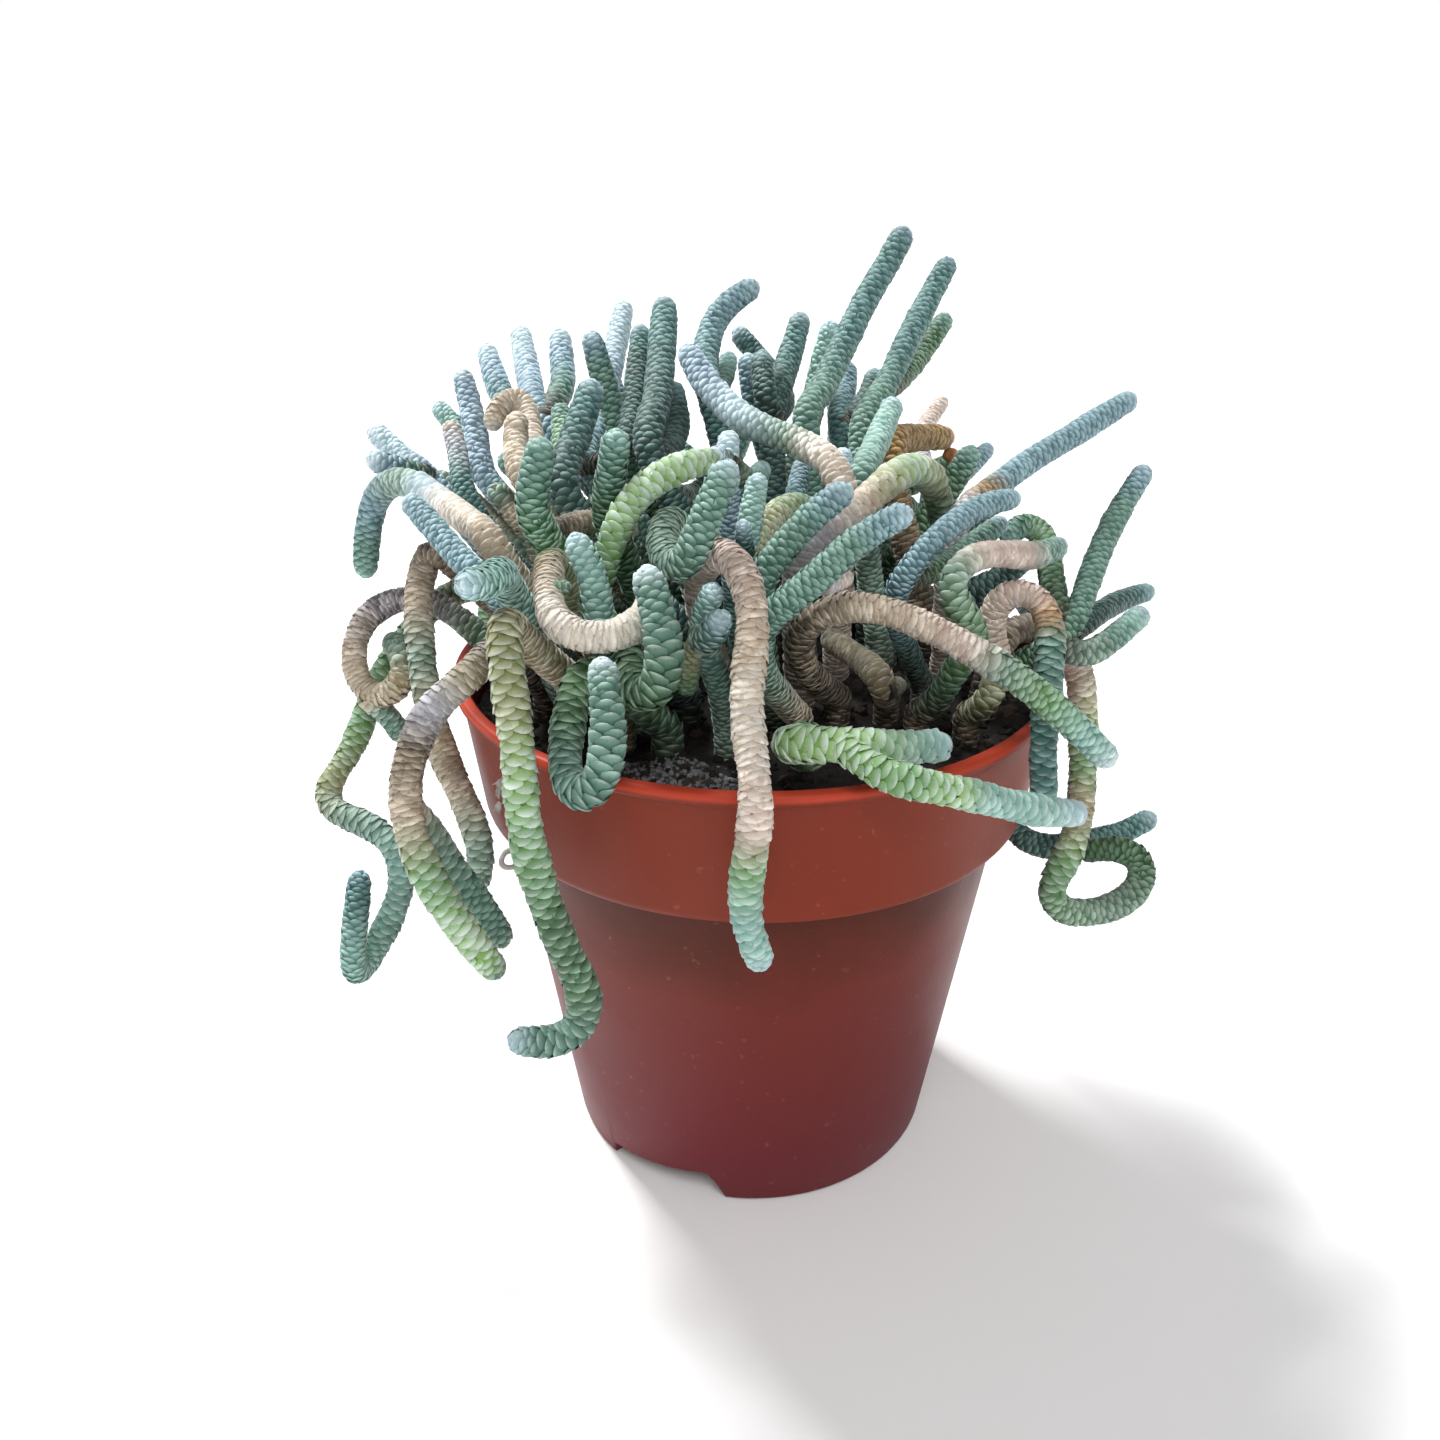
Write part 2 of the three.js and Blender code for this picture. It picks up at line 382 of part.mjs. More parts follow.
// Stems that would cross are bent clear: all strands are pushed apart a little at a time, and each
// push spreads along its strand, so that the stems keep their form and touch nothing
function settle(rounds) {
  const beads = [];
  for (const strand of strands) {
    strand.first = beads.length;
    strand.points.forEach((point, i) => beads.push({
      strand, i, home: point.clone(), place: point.clone(), shift: new THREE.Vector3(),
      push: new THREE.Vector3(), inRoot: i < strand.rooted,
    }));
  }
  const forkBead = (strand) => strand.parent.first + strand.at;
  const nearFork = (a, b) => {
    const [child, other] = a.strand.parent === b.strand ? [a, b] : [b, a];
    if (child.strand.parent === other.strand) {
      return child.i * sampleStep < 7 && Math.abs(other.i - child.strand.at) * sampleStep < 8;
    }
    const sisters = a.strand.parent && a.strand.parent === b.strand.parent;
    const apart = sisters ? Math.abs(a.strand.at - b.strand.at) * sampleStep : 0;
    return sisters && apart < 6 && a.i * sampleStep < 7 && b.i * sampleStep < 7;
  };
  const free = (a, b) => a.strand === b.strand && Math.abs(a.i - b.i) * sampleStep < 7;
  const need = (a, b) => {
    const apart = a.strand.radius + b.strand.radius + 2 * scaleRise + stemClearance;
    return a.inRoot && b.inRoot ? Math.max(apart, rootSpacing) : apart;
  };
  const refresh = 10;
  const maxPush = 0.35;
  let pairs = [];
  for (let round = 0; round < rounds; round += 1) {
    if (round % refresh === 0) {
      pairs = [];
      const cutoff = rootSpacing + 2 * refresh * maxPush;
      for (let a = 0; a < beads.length; a += 1) {
        for (let b = a + 1; b < beads.length; b += 1) {
          if (beads[a].place.distanceToSquared(beads[b].place) > cutoff * cutoff) continue;
          if (free(beads[a], beads[b]) || nearFork(beads[a], beads[b])) continue;
          pairs.push([beads[a], beads[b], need(beads[a], beads[b])]);
        }
      }
    }
    for (const bead of beads) bead.push.set(0, 0, 0);
    for (const [a, b, apart] of pairs) {
      const distance = a.place.distanceTo(b.place);
      if (distance >= apart || distance < 1e-9) continue;
      const share = 0.3 * (apart - distance) / distance;
      a.push.addScaledVector(a.place, share).addScaledVector(b.place, -share);
      b.push.addScaledVector(b.place, share).addScaledVector(a.place, -share);
    }
    for (const bead of beads) {
      if (bead.inRoot) {
        const reach = Math.hypot(bead.place.x, bead.place.y);
        if (reach > rootReach) {
          bead.push.x -= bead.place.x * (1 - rootReach / reach);
          bead.push.y -= bead.place.y * (1 - rootReach / reach);
        }
        continue;
      }
      const keep = bead.strand.radius + scaleRise + wallHalf + wallClearance;
      const off = pushOffWall(bead.place.x, bead.place.y, bead.place.z, keep);
      if (off) bead.push.add(new THREE.Vector3(...off).multiplyScalar(0.6));
      const overSoil = Math.hypot(bead.place.x, bead.place.y) < lipRadius - 1 && bead.place.z < potHeight;
      const lowest = overSoil && bead.place.z > soilLevel - 4 ? soilLevel + soilRoughness : 0;
      const sunk = lowest + keep - wallHalf - bead.place.z;
      if (sunk > 0) bead.push.z += 0.6 * sunk;
    }
    const spread = round < rounds * 0.6 ? 0.3 : 0.3 * (rounds - round) / (rounds * 0.4);
    for (const bead of beads) {
      const length = bead.push.length();
      if (length > maxPush) bead.push.multiplyScalar(maxPush / length);
      bead.shift.add(bead.push);
    }
    for (const strand of strands) {
      const own = beads.slice(strand.first, strand.first + strand.points.length);
      const before = own.map((bead) => bead.shift.clone());
      own.forEach((bead, i) => {
        const low = before[Math.max(i - 1, 0)];
        const high = before[Math.min(i + 1, own.length - 1)];
        bead.shift.addScaledVector(low, spread / 2).addScaledVector(high, spread / 2);
        bead.shift.addScaledVector(before[i], -spread);
      });
      if (strand.rooted) {
        const mean = new THREE.Vector3();
        for (let i = 0; i < strand.rooted; i += 1) mean.addScaledVector(own[i].shift, 1 / strand.rooted);
        mean.z = 0;
        for (let i = 0; i < strand.rooted; i += 1) own[i].shift.copy(mean);
      }
    }
    for (const strand of strands) {
      if (strand.parent) beads[strand.first].shift.copy(beads[forkBead(strand)].shift);
    }
    for (const bead of beads) bead.place.copy(bead.home).add(bead.shift);
  }
  for (const strand of strands) {
    const own = beads.slice(strand.first, strand.first + strand.points.length);
    const firm = Math.max(strand.rooted, 1);
    strand.points = softened(softened(own.map((bead) => bead.place), firm), firm);
  }
}

settle(320);

// Stations along a strand: far apart where it runs straight, closer where it bends
function stations(points) {
  const line = smoothLine(points, 0.5);
  const cost = [0];
  for (let i = 1; i < line.length; i += 1) {
    let bend = 0;
    if (i < line.length - 1) {
      const before = line[i].clone().sub(line[i - 1]);
      bend = before.angleTo(line[i + 1].clone().sub(line[i]));
    }
    cost.push(cost[i - 1] + line[i].distanceTo(line[i - 1]) / scaleStep + bend / bendPerRing);
  }
  const total = cost[cost.length - 1];
  const count = Math.max(2, Math.round(total));
  const picked = [];
  let i = 0;
  for (let k = 0; k <= count; k += 1) {
    const target = total * k / count;
    while (i < line.length - 2 && cost[i + 1] < target) i += 1;
    const share = Math.min(1, (target - cost[i]) / (cost[i + 1] - cost[i]));
    picked.push(line[i].clone().lerp(line[i + 1], share));
  }
  return picked;
}

// A closed tube with scales as relief: every second corner of a ring stands out and leans to the tip,
// and the rings take turns, so that each raised corner is a four-sided scale
function scalyTube(points, radius, plainRings) {
  const spots = stations(points);
  const positions = [];
  const faces = [];
  let across = new THREE.Vector3(1, 0, 0);
  const last = spots.length - 1;
  spots.forEach((spot, i) => {
    const ahead = spots[Math.min(i + 1, last)].clone().sub(spots[Math.max(i - 1, 0)]).normalize();
    across = across.addScaledVector(ahead, -across.dot(ahead)).normalize();
    const up = new THREE.Vector3().crossVectors(ahead, across);
    const plain = i < plainRings;
    const round = i === last ? 0.66 : 1;
    for (let j = 0; j < stemSides; j += 1) {
      const raised = (i + j) % 2 === 0;
      const relief = raised ? scaleRise : -scaleDip;
      const size = plain ? stemRadius * plainRootShare : (radius + relief) * round;
      const lean = plain || !raised || i >= last - 1 ? 0 : scaleLean;
      const angle = 2 * Math.PI * j / stemSides;
      const corner = spot.clone()
        .addScaledVector(ahead, lean)
        .addScaledVector(across, size * Math.cos(angle))
        .addScaledVector(up, size * Math.sin(angle));
      positions.push(corner);
    }
  });
  for (let i = 0; i < last; i += 1) {
    for (let j = 0; j < stemSides; j += 1) {
      const a = i * stemSides + j;
      const b = i * stemSides + (j + 1) % stemSides;
      const c = a + stemSides;
      const d = b + stemSides;
      if ((i + j) % 2 === 0) faces.push([a, b, c], [b, d, c]);
      else faces.push([a, b, d], [a, d, c]);
    }
  }
  const foot = positions.push(spots[0].clone()) - 1;
  const forward = spots[last].clone().sub(spots[last - 1]).normalize();
  const tip = positions.push(spots[last].clone().addScaledVector(forward, radius * 0.5)) - 1;
  for (let j = 0; j < stemSides; j += 1) {
    const next = (j + 1) % stemSides;
    faces.push([foot, next, j], [tip, last * stemSides + j, last * stemSides + next]);
  }
  return closedMesh(positions, faces);
}

function closedMesh(positions, faces) {
  const geometry = new THREE.BufferGeometry();
  const numbers = positions.flatMap((p) => [p.x, p.y, p.z]);
  geometry.setAttribute("position", new THREE.Float32BufferAttribute(numbers, 3));
  geometry.setIndex(faces.flat());
  return geometry;
}

// Solids for joining and cutting, and back
function solid(geometry) {
  const bare = geometry.clone();
  bare.deleteAttribute("normal");
  bare.deleteAttribute("uv");
  const merged = mergeVertices(bare, 1e-4);
  return new wasm.Manifold(new wasm.Mesh({
    numProp: 3,
    vertProperties: new Float32Array(merged.attributes.position.array),
    triVerts: new Uint32Array(merged.index.array),
  }));
}

function geometryOf(body) {
  const mesh = body.getMesh();
  const geometry = new THREE.BufferGeometry();
  geometry.setAttribute("position", new THREE.Float32BufferAttribute(mesh.vertProperties, 3));
  geometry.setIndex(Array.from(mesh.triVerts));
  return geometry;
}

// The pot: one thin moulding with a lip, a collar, a step and a tapered body
function potShell() {
  const step = potHeight - collarHeight;
  const outside = [
    [0, 0],
    [baseRadius - baseCorner, 0],
    [baseRadius, baseCorner],
    [bodyTopRadius, step],
    [collarFootRadius - 0.3, step],
    [collarFootRadius, step + 0.4],
    [collarTopRadius, potHeight - lipHeight],
    [lipRadius, potHeight - lipHeight + 0.2],
    [lipRadius - 0.15, potHeight],
  ];
  const inside = [
    [collarTopRadius - wall + 0.2, potHeight],
    [collarTopRadius - wall, potHeight - lipHeight],
    [collarFootRadius - wall, step + wall],
    [bodyTopRadius - wall, step + wall - 0.1],
    [baseRadius - wall + 0.1, baseCorner + wall],
    [baseRadius - baseCorner - wall, wall],
    [0, wall],
  ];
  const profile = [...outside, ...inside].map(([r, z]) => new THREE.Vector2(r, z));
  return solid(new THREE.LatheGeometry(profile, potSides).rotateX(Math.PI / 2));
}

function ringSector(inner, outer, span, low, high) {
  const half = THREE.MathUtils.degToRad(span / 2);
  const shape = new THREE.Shape();
  shape.absarc(0, 0, outer, -half, half, false);
  shape.absarc(0, 0, inner, half, -half, true);
  shape.closePath();
  return new THREE.ExtrudeGeometry(shape, { depth: high - low, bevelEnabled: false, curveSegments: 8 })
    .translate(0, 0, low);
}

function potGeometry() {
  const slope = THREE.MathUtils.degToRad(notchSlope);
  const halfSpan = baseRadius * Math.sin(THREE.MathUtils.degToRad(notchSpan / 2));
  const notchMiddle = notchHeight - halfSpan * Math.tan(slope);
  let pot = potShell();
  for (const angle of notchAngles) {
    const turn = THREE.MathUtils.degToRad(angle - 90);
    const inner = baseRadius - notchDepth;
    const roof = ringSector(inner - wall, baseRadius - 0.5, notchSpan + 4, 0.3, notchHeight + wall);
    const pocket = ringSector(inner, baseRadius + 5, notchSpan, -3, notchMiddle).rotateX(slope);
    const drain = new THREE.CylinderGeometry(drainRadius, drainRadius, 8, 12).rotateX(Math.PI / 2)
      .translate(baseRadius - 3.2, 0, 3);
    pot = pot.add(solid(roof.rotateZ(turn)));
    pot = pot.subtract(solid(pocket.rotateZ(turn)));
    pot = pot.subtract(solid(drain.rotateZ(turn)));
  }
  return geometryOf(pot);
}

// The soil: fills the pot to a little under the lip, with an uneven top and a plain hole for each root
function soilTop(x, y) {
  return soilLevel + soilRoughness * 0.5
    * (Math.sin(x * 0.83 + 1.3) * Math.cos(y * 0.71) + Math.sin(x * 0.31 - y * 0.53 + 2));
}

function soilGeometry() {
  const step = potHeight - collarHeight;
  const pocketEdge = baseRadius - notchDepth - wall - soilGap;
  const collarAt = (z) => collarFootRadius + (collarTopRadius - collarFootRadius) * (z - step) / collarHeight;
  const edge = collarAt(soilLevel) - wall - soilGap;
  const roof = notchHeight + wall + soilGap;
  const profile = [
    [0, wall + soilGap],
    [pocketEdge, wall + soilGap],
    [pocketEdge, roof],
    [baseRadius - wall - soilGap, roof],
    [bodyTopRadius - wall - soilGap, step + wall + soilGap],
    [collarFootRadius - wall - soilGap, step + wall + soilGap],
    [edge, soilLevel],
    [edge - 10, soilLevel],
    [edge - 20, soilLevel],
    [0, soilLevel],
  ].map(([r, z]) => new THREE.Vector2(r, z));
  const lathe = new THREE.LatheGeometry(profile, 20).rotateX(Math.PI / 2);
  const spots = lathe.attributes.position;
  for (let i = 0; i < spots.count; i += 1) {
    const inTop = spots.getZ(i) > soilLevel - 0.01 && Math.hypot(spots.getX(i), spots.getY(i)) < edge - 0.01;
    if (inTop) spots.setZ(i, soilTop(spots.getX(i), spots.getY(i)));
  }
  let soil = solid(lathe);
  const holeRadius = stemRadius * plainRootShare + soilGap / Math.cos(Math.PI / stemSides);
  for (const strand of strands.filter((one) => !one.parent)) {
    const foot = strand.points[0];
    const hole = new THREE.CylinderGeometry(holeRadius, holeRadius, 12, stemSides).rotateX(Math.PI / 2)
      .rotateZ(Math.PI / 2);
    hole.translate(foot.x, foot.y, soilLevel - rootDepth - soilGap + 6);
    soil = soil.subtract(solid(hole));
  }
  return geometryOf(soil);
}

// Materials, as simple colours
const plastic = new THREE.MeshStandardMaterial({ color: 0x84392b, roughness: 0.42, metalness: 0 });
const peat = new THREE.MeshStandardMaterial({ color: 0x1c1713, roughness: 0.95, metalness: 0 });
const stemSkin = new THREE.MeshStandardMaterial({ color: 0x7fa08c, roughness: 0.7, metalness: 0 });

const plant = new THREE.Group();

function addPiece(name, geometry, material) {
  const mesh = new THREE.Mesh(geometry, material);
  mesh.name = name;
  plant.add(mesh);
}

addPiece("pot", potGeometry(), plastic);
addPiece("soil", soilGeometry(), peat);

const stemCount = frontStems.length + backStemCount;
for (let number = 0; number < stemCount; number += 1) {
  const own = strands.filter((strand) => strand.number === number);
  let body = null;
  for (const strand of own) {
    const tube = solid(scalyTube(strand.points, strand.radius, strand.parent ? 0 : 2));
    body = body ? body.add(tube) : tube;
  }
  addPiece(`stem_${String(number + 1).padStart(2, "0")}`, geometryOf(body), stemSkin);
}

export default plant;
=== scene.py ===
import json
import math
import bmesh
import bpy
import numpy as np
from mathutils import Euler, Matrix, Vector

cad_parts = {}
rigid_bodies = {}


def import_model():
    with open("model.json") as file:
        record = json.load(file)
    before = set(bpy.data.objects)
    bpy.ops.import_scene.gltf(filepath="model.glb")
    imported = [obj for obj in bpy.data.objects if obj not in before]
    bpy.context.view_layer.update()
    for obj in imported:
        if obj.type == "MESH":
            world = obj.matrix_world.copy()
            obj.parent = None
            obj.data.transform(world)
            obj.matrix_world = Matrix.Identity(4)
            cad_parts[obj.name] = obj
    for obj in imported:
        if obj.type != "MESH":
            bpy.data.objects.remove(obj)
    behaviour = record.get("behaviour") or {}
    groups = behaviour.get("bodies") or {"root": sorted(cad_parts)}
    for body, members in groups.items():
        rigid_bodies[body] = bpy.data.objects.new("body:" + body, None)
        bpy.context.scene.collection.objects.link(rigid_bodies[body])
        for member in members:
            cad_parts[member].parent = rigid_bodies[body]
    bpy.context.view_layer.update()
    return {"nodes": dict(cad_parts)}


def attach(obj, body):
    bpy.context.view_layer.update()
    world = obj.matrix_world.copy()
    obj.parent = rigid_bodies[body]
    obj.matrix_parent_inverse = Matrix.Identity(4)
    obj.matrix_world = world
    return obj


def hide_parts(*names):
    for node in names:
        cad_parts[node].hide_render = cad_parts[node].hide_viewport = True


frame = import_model()

# The nursery pot
# One thin injection moulding in reddish-brown polypropylene: a rolled lip, a tall collar, a step in to
# the tapered body, and a floor with two raised drainage notches at its edge, each with a drain hole up
# through its ceiling. Sizes are in millimetres and turns in degrees.
POT_HEIGHT = 58
LIP_RADIUS = 32.5
LIP_FOLD = 1.3
COLLAR_HEIGHT = 15
COLLAR_TOP = 31.8
COLLAR_FOOT = 30.1
BODY_TOP = 27.8
BASE_RADIUS = 21.6
WALL = 0.9
NOTCH_HEIGHT = 4
NOTCH_DEPTH = 5.5
NOTCH_SPAN = 41
NOTCH_SLOPE = 9
NOTCH_END = 2.6
NOTCH_SIDE = 0.8
NOTCH_TURNS = (-116.5, 63.5)
DRAIN_RADIUS = 1.8
DRAIN_INSET = 3.2
DRAIN_SIDES = 32
POT_COLUMNS = 180


def linear(code):
    """A hex colour as four linear numbers."""
    parts = [int(code[i:i + 2], 16) / 255 for i in (1, 3, 5)]
    return tuple(c / 12.92 if c <= 0.04045 else ((c + 0.055) / 1.055) ** 2.4 for c in parts) + (1.0,)


def set_inputs(node, inputs):
    """Sets each input to a value or a hex colour, or links it to a socket or to a node's first output."""
    for key, value in inputs.items():
        if isinstance(value, bpy.types.Node):
            value = next(socket for socket in value.outputs if socket.enabled)
        if isinstance(value, bpy.types.NodeSocket):
            node.id_data.links.new(value, node.inputs[key])
        elif isinstance(value, str) and value.startswith("#"):
            node.inputs[key].default_value = linear(value)
        else:
            node.inputs[key].default_value = value


def add_node(tree, kind, inputs=None, **settings):
    """Adds one node with its settings and inputs."""
    node = tree.nodes.new(kind)
    for name, value in settings.items():
        setattr(node, name, value)
    set_inputs(node, inputs or {})
    return node


def new_material(name):
    """An empty material with its shader and output."""
    material = bpy.data.materials.new(name)
    material.use_nodes = True
    tree = material.node_tree
    tree.nodes.clear()
    shader = add_node(tree, "ShaderNodeBsdfPrincipled")
    add_node(tree, "ShaderNodeOutputMaterial", {"Surface": shader})
    return material, tree, shader


def new_piece(name, mesh, material, smooth=True):
    """An object at the origin with that mesh."""
    mesh.materials.clear()
    mesh.materials.append(material)
    mesh.polygons.foreach_set("use_smooth", [smooth] * len(mesh.polygons))
    piece = bpy.data.objects.new(name, mesh)
    bpy.context.collection.objects.link(piece)
    return piece


def finished(shape, name):
    """What was built in mesh code, as a mesh."""
    mesh = bpy.data.meshes.new(name)
    shape.to_mesh(mesh)
    shape.free()
    return mesh


def made_plain(guide):
    """The mesh that an object's modifiers make of it. The object itself is removed."""
    bpy.context.view_layer.update()
    mesh = bpy.data.meshes.new_from_object(guide.evaluated_get(bpy.context.evaluated_depsgraph_get()))
    bpy.data.objects.remove(guide)
    return mesh


def around(turn, radius, height):
    """A point at that many degrees round the pot's axis."""
    return np.array((math.cos(math.radians(turn)) * radius, math.sin(math.radians(turn)) * radius, height))


def rounded(points, reaches):
    """The same outline with each corner replaced by five points of a curve, which reaches that far."""
    line = [points[0]]
    for before, corner, after, reach in zip(points, points[1:], points[2:], reaches):
        before, corner, after = Vector(before), Vector(corner), Vector(after)
        reach_in = min(reach, 0.45 * (before - corner).length)
        reach_out = min(reach, 0.45 * (after - corner).length)
        start = corner + (before - corner).normalized() * reach_in
        end = corner + (after - corner).normalized() * reach_out
        for t in (0, 0.25, 0.5, 0.75, 1):
            line.append(tuple(start * (1 - t) ** 2 + corner * 2 * t * (1 - t) + end * t ** 2))
    return line + [points[-1]]


def pot_outline(turn):
    """The wall's outline from the middle of the underside, up the outside and down the inside.

    In a notch, turn is the angle from the notch's middle, and the notch's ceiling slopes with it.
    A corner is its (radius, height) and how far its rounding reaches."""
    step = POT_HEIGHT - COLLAR_HEIGHT
    slope = (BODY_TOP - BASE_RADIUS) / step
    inner = BASE_RADIUS - NOTCH_DEPTH
    top = NOTCH_HEIGHT + WALL
    if turn is not None:
        half = math.radians(NOTCH_SPAN / 2)
        reach = BASE_RADIUS * (math.sin(math.radians(turn)) - math.sin(half))
        ceiling = NOTCH_HEIGHT + reach * math.tan(math.radians(NOTCH_SLOPE))
        end = min(1, (half - math.radians(turn)) * BASE_RADIUS / NOTCH_END + 0.02)
        ceiling *= end * end * (3 - 2 * end)
        foot = [(inner, 0), (inner, ceiling), (BASE_RADIUS + slope * ceiling, ceiling)]
        floor = [(BASE_RADIUS + slope * top - WALL, top), (inner - WALL, top), (inner - WALL, WALL)]
    else:
        foot = [(inner, 0), (inner + 2, 0), (BASE_RADIUS, 0)]
        floor = [(BASE_RADIUS - WALL, WALL), (inner + 1, WALL), (inner - WALL, WALL)]
    sides = [
        ((BASE_RADIUS + slope * (top + 2), top + 2), 0.2), ((BODY_TOP, step), 0.5),
        ((COLLAR_FOOT, step), 1.1), ((COLLAR_TOP, POT_HEIGHT - LIP_FOLD), 0.3),
        ((LIP_RADIUS, POT_HEIGHT - LIP_FOLD + 0.25), 0.4), ((LIP_RADIUS - 0.05, POT_HEIGHT), 0.55),
        ((COLLAR_TOP - WALL + 0.1, POT_HEIGHT), 0.5), ((COLLAR_TOP - WALL, POT_HEIGHT - LIP_FOLD), 0.6),
        ((COLLAR_FOOT - WALL, step + WALL), 0.8), ((BODY_TOP - WALL, step + WALL - 0.1), 0.5),
        ((BASE_RADIUS + slope * (top + 2) - WALL, top + 2), 0.2),
    ]
    corners = [(p, 0.35) for p in foot] + sides + [(p, 0.4) for p in floor]
    points = [(0, 0)] + [p for p, _ in corners] + [(0, WALL)]
    return rounded(points, [reach for _, reach in corners])


def pot_mesh():
    """The outline turned round the pot's axis, with the notched outline between each notch's sides."""
    plain, half = pot_outline(None), NOTCH_SPAN / 2
    angles = [360 * i / POT_COLUMNS for i in range(POT_COLUMNS)]
    turns = []
    for middle in NOTCH_TURNS:
        inside = [a for a in angles if abs((a - middle + 180) % 360 - 180) < half - 1]
        angles = [a for a in angles if abs((a - middle + 180) % 360 - 180) > half]
        turns += [(a, pot_outline((a - middle + 180) % 360 - 180)) for a in inside]
        turns += [((middle + side * half) % 360, plain) for side in (-1, 1)]
        turns += [((middle + side * (half - NOTCH_SIDE)) % 360, pot_outline(side * half)) for side in (-1, 1)]
    turns = sorted(turns + [(a, plain) for a in angles], key=lambda turn: turn[0])
    turns = [turn for turn, after in zip(turns, turns[1:] + [(400, None)]) if after[0] - turn[0] > 0.05]
    shape = bmesh.new()
    columns = []
    for angle, line in turns:
        c, s = math.cos(math.radians(angle)), math.sin(math.radians(angle))
        columns.append([shape.verts.new((r * c / 1000, r * s / 1000, z / 1000)) for r, z in line])
    for left, right in zip(columns, columns[1:] + columns[:1]):
        for i in range(len(left) - 1):
            shape.faces.new((left[i], right[i], right[i + 1], left[i + 1]))
    bmesh.ops.remove_doubles(shape, verts=shape.verts, dist=1e-6)
    bmesh.ops.recalc_face_normals(shape, faces=shape.faces)
    bmesh.ops.triangulate(shape, faces=shape.faces)
    return finished(shape, "nursery_pot")


def drilled(mesh):
    """The same pot with the drain holes, whose rims are crisp."""
    drill, rims = bmesh.new(), [Vector(around(turn, BASE_RADIUS - DRAIN_INSET, 0)) for turn in NOTCH_TURNS]
    for rim in rims:
        bmesh.ops.create_cone(drill, cap_ends=True, segments=DRAIN_SIDES, radius1=DRAIN_RADIUS / 1000,
                              radius2=DRAIN_RADIUS / 1000, depth=2 * NOTCH_HEIGHT / 1000,
                              matrix=Matrix.Translation((rim + Vector((0, 0, 3))) / 1000))
    blank = bpy.data.objects.new("blank", mesh)
    bit = bpy.data.objects.new("bit", finished(drill, "bit"))
    for holder in (blank, bit):
        bpy.context.collection.objects.link(holder)
    blank.modifiers.new("drain holes", "BOOLEAN").object = bit
    shape = bmesh.new()
    shape.from_mesh(made_plain(blank))
    bpy.data.objects.remove(bit)
    for edge in shape.edges:
        edge.smooth = all(any(abs((v.co * 1000 - rim).xy.length - DRAIN_RADIUS) > 0.01 for v in edge.verts)
                          for rim in rims)
    return finished(shape, "nursery_pot")


# Injection-moulded polypropylene: satin and slightly uneven, more maroon low down as a painted reflection
# of the floor, darker just under the collar as painted shade from its overhang, and bright orange-red at
# the thin lip as a painted glow of the light that comes through it.
# Its moulded grain is a fraction of a millimetre, and is drawn as a faint bump of about that size.
plastic, tree, shader = new_material("Moulded polypropylene, reddish brown")
place = add_node(tree, "ShaderNodeTexCoord").outputs["Object"]
height = add_node(tree, "ShaderNodeSeparateXYZ", {"Vector": place}).outputs["Z"]
patches = add_node(tree, "ShaderNodeTexNoise", {"Vector": place, "Scale": 55.0, "Detail": 3.0})
sway = add_node(tree, "ShaderNodeMath", {0: patches, 1: 0.02}, operation="MULTIPLY")
uneven = add_node(tree, "ShaderNodeMath", {0: height, 1: sway}, operation="ADD")

# Each colour takes over from the one under it between two heights in metres. The maroon base is a painted
# reflection of the floor, #4d2016 is painted shade under the collar and #ac3d29 is the lip's painted glow
colour = "#652429"
for level, start, full, code in ((uneven, 0.018, 0.05, "#66291d"), (uneven, 0.041, 0.051, "#4d2016"),
                                 (height, 0.0428, 0.0434, "#742c1b"), (height, 0.0571, 0.0575, "#ac3d29")):
    share = add_node(tree, "ShaderNodeMapRange", {"Value": level, "From Min": start, "From Max": full})
    colour = add_node(tree, "ShaderNodeMixRGB", {"Fac": share, "Color1": colour, "Color2": code})

# Inside the collar, the wall is darker, as painted shade for the plant's shade on it: there the radius is
# under that of a cone in the wall's middle
flat = add_node(tree, "ShaderNodeVectorMath", {0: place, 1: (1.0, 1.0, 0.0)}, operation="MULTIPLY")
radius = add_node(tree, "ShaderNodeVectorMath", {0: flat}, operation="LENGTH")
cone = add_node(tree, "ShaderNodeMath", {0: height, 1: 0.113, 2: 0.0247}, operation="MULTIPLY_ADD")
within = add_node(tree, "ShaderNodeMath", {0: radius, 1: cone}, operation="LESS_THAN")
above = add_node(tree, "ShaderNodeMath", {0: height, 1: 0.0435}, operation="GREATER_THAN")
inside = add_node(tree, "ShaderNodeMath", {0: within, 1: above}, operation="MULTIPLY")
colour = add_node(tree, "ShaderNodeMixRGB", {"Fac": inside, "Color1": colour, "Color2": "#4a1a14"})

specks = add_node(tree, "ShaderNodeTexNoise", {"Vector": place, "Scale": 900.0, "Detail": 2.0})
dust = add_node(tree, "ShaderNodeMapRange", {"Value": specks, "From Min": 0.68, "From Max": 0.78,
                                             "To Max": 0.22})
dusty = add_node(tree, "ShaderNodeMixRGB", {"Fac": dust, "Color1": colour, "Color2": "#a2705c"})
gloss = add_node(tree, "ShaderNodeMapRange", {"Value": patches, "From Min": 0.3, "From Max": 0.7,
                                              "To Min": 0.4, "To Max": 0.52})
grain = add_node(tree, "ShaderNodeTexNoise", {"Vector": place, "Scale": 1800.0, "Detail": 2.0})
bumps = add_node(tree, "ShaderNodeBump", {"Height": grain, "Strength": 0.1, "Distance": 0.0002})
set_inputs(shader, {"Base Color": dusty, "Roughness": gloss, "Normal": bumps, "IOR": 1.49,
                    "Specular IOR Level": 0.14})

pot = new_piece("nursery_pot", drilled(pot_mesh()), plastic)
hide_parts("pot")
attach(pot, "root")

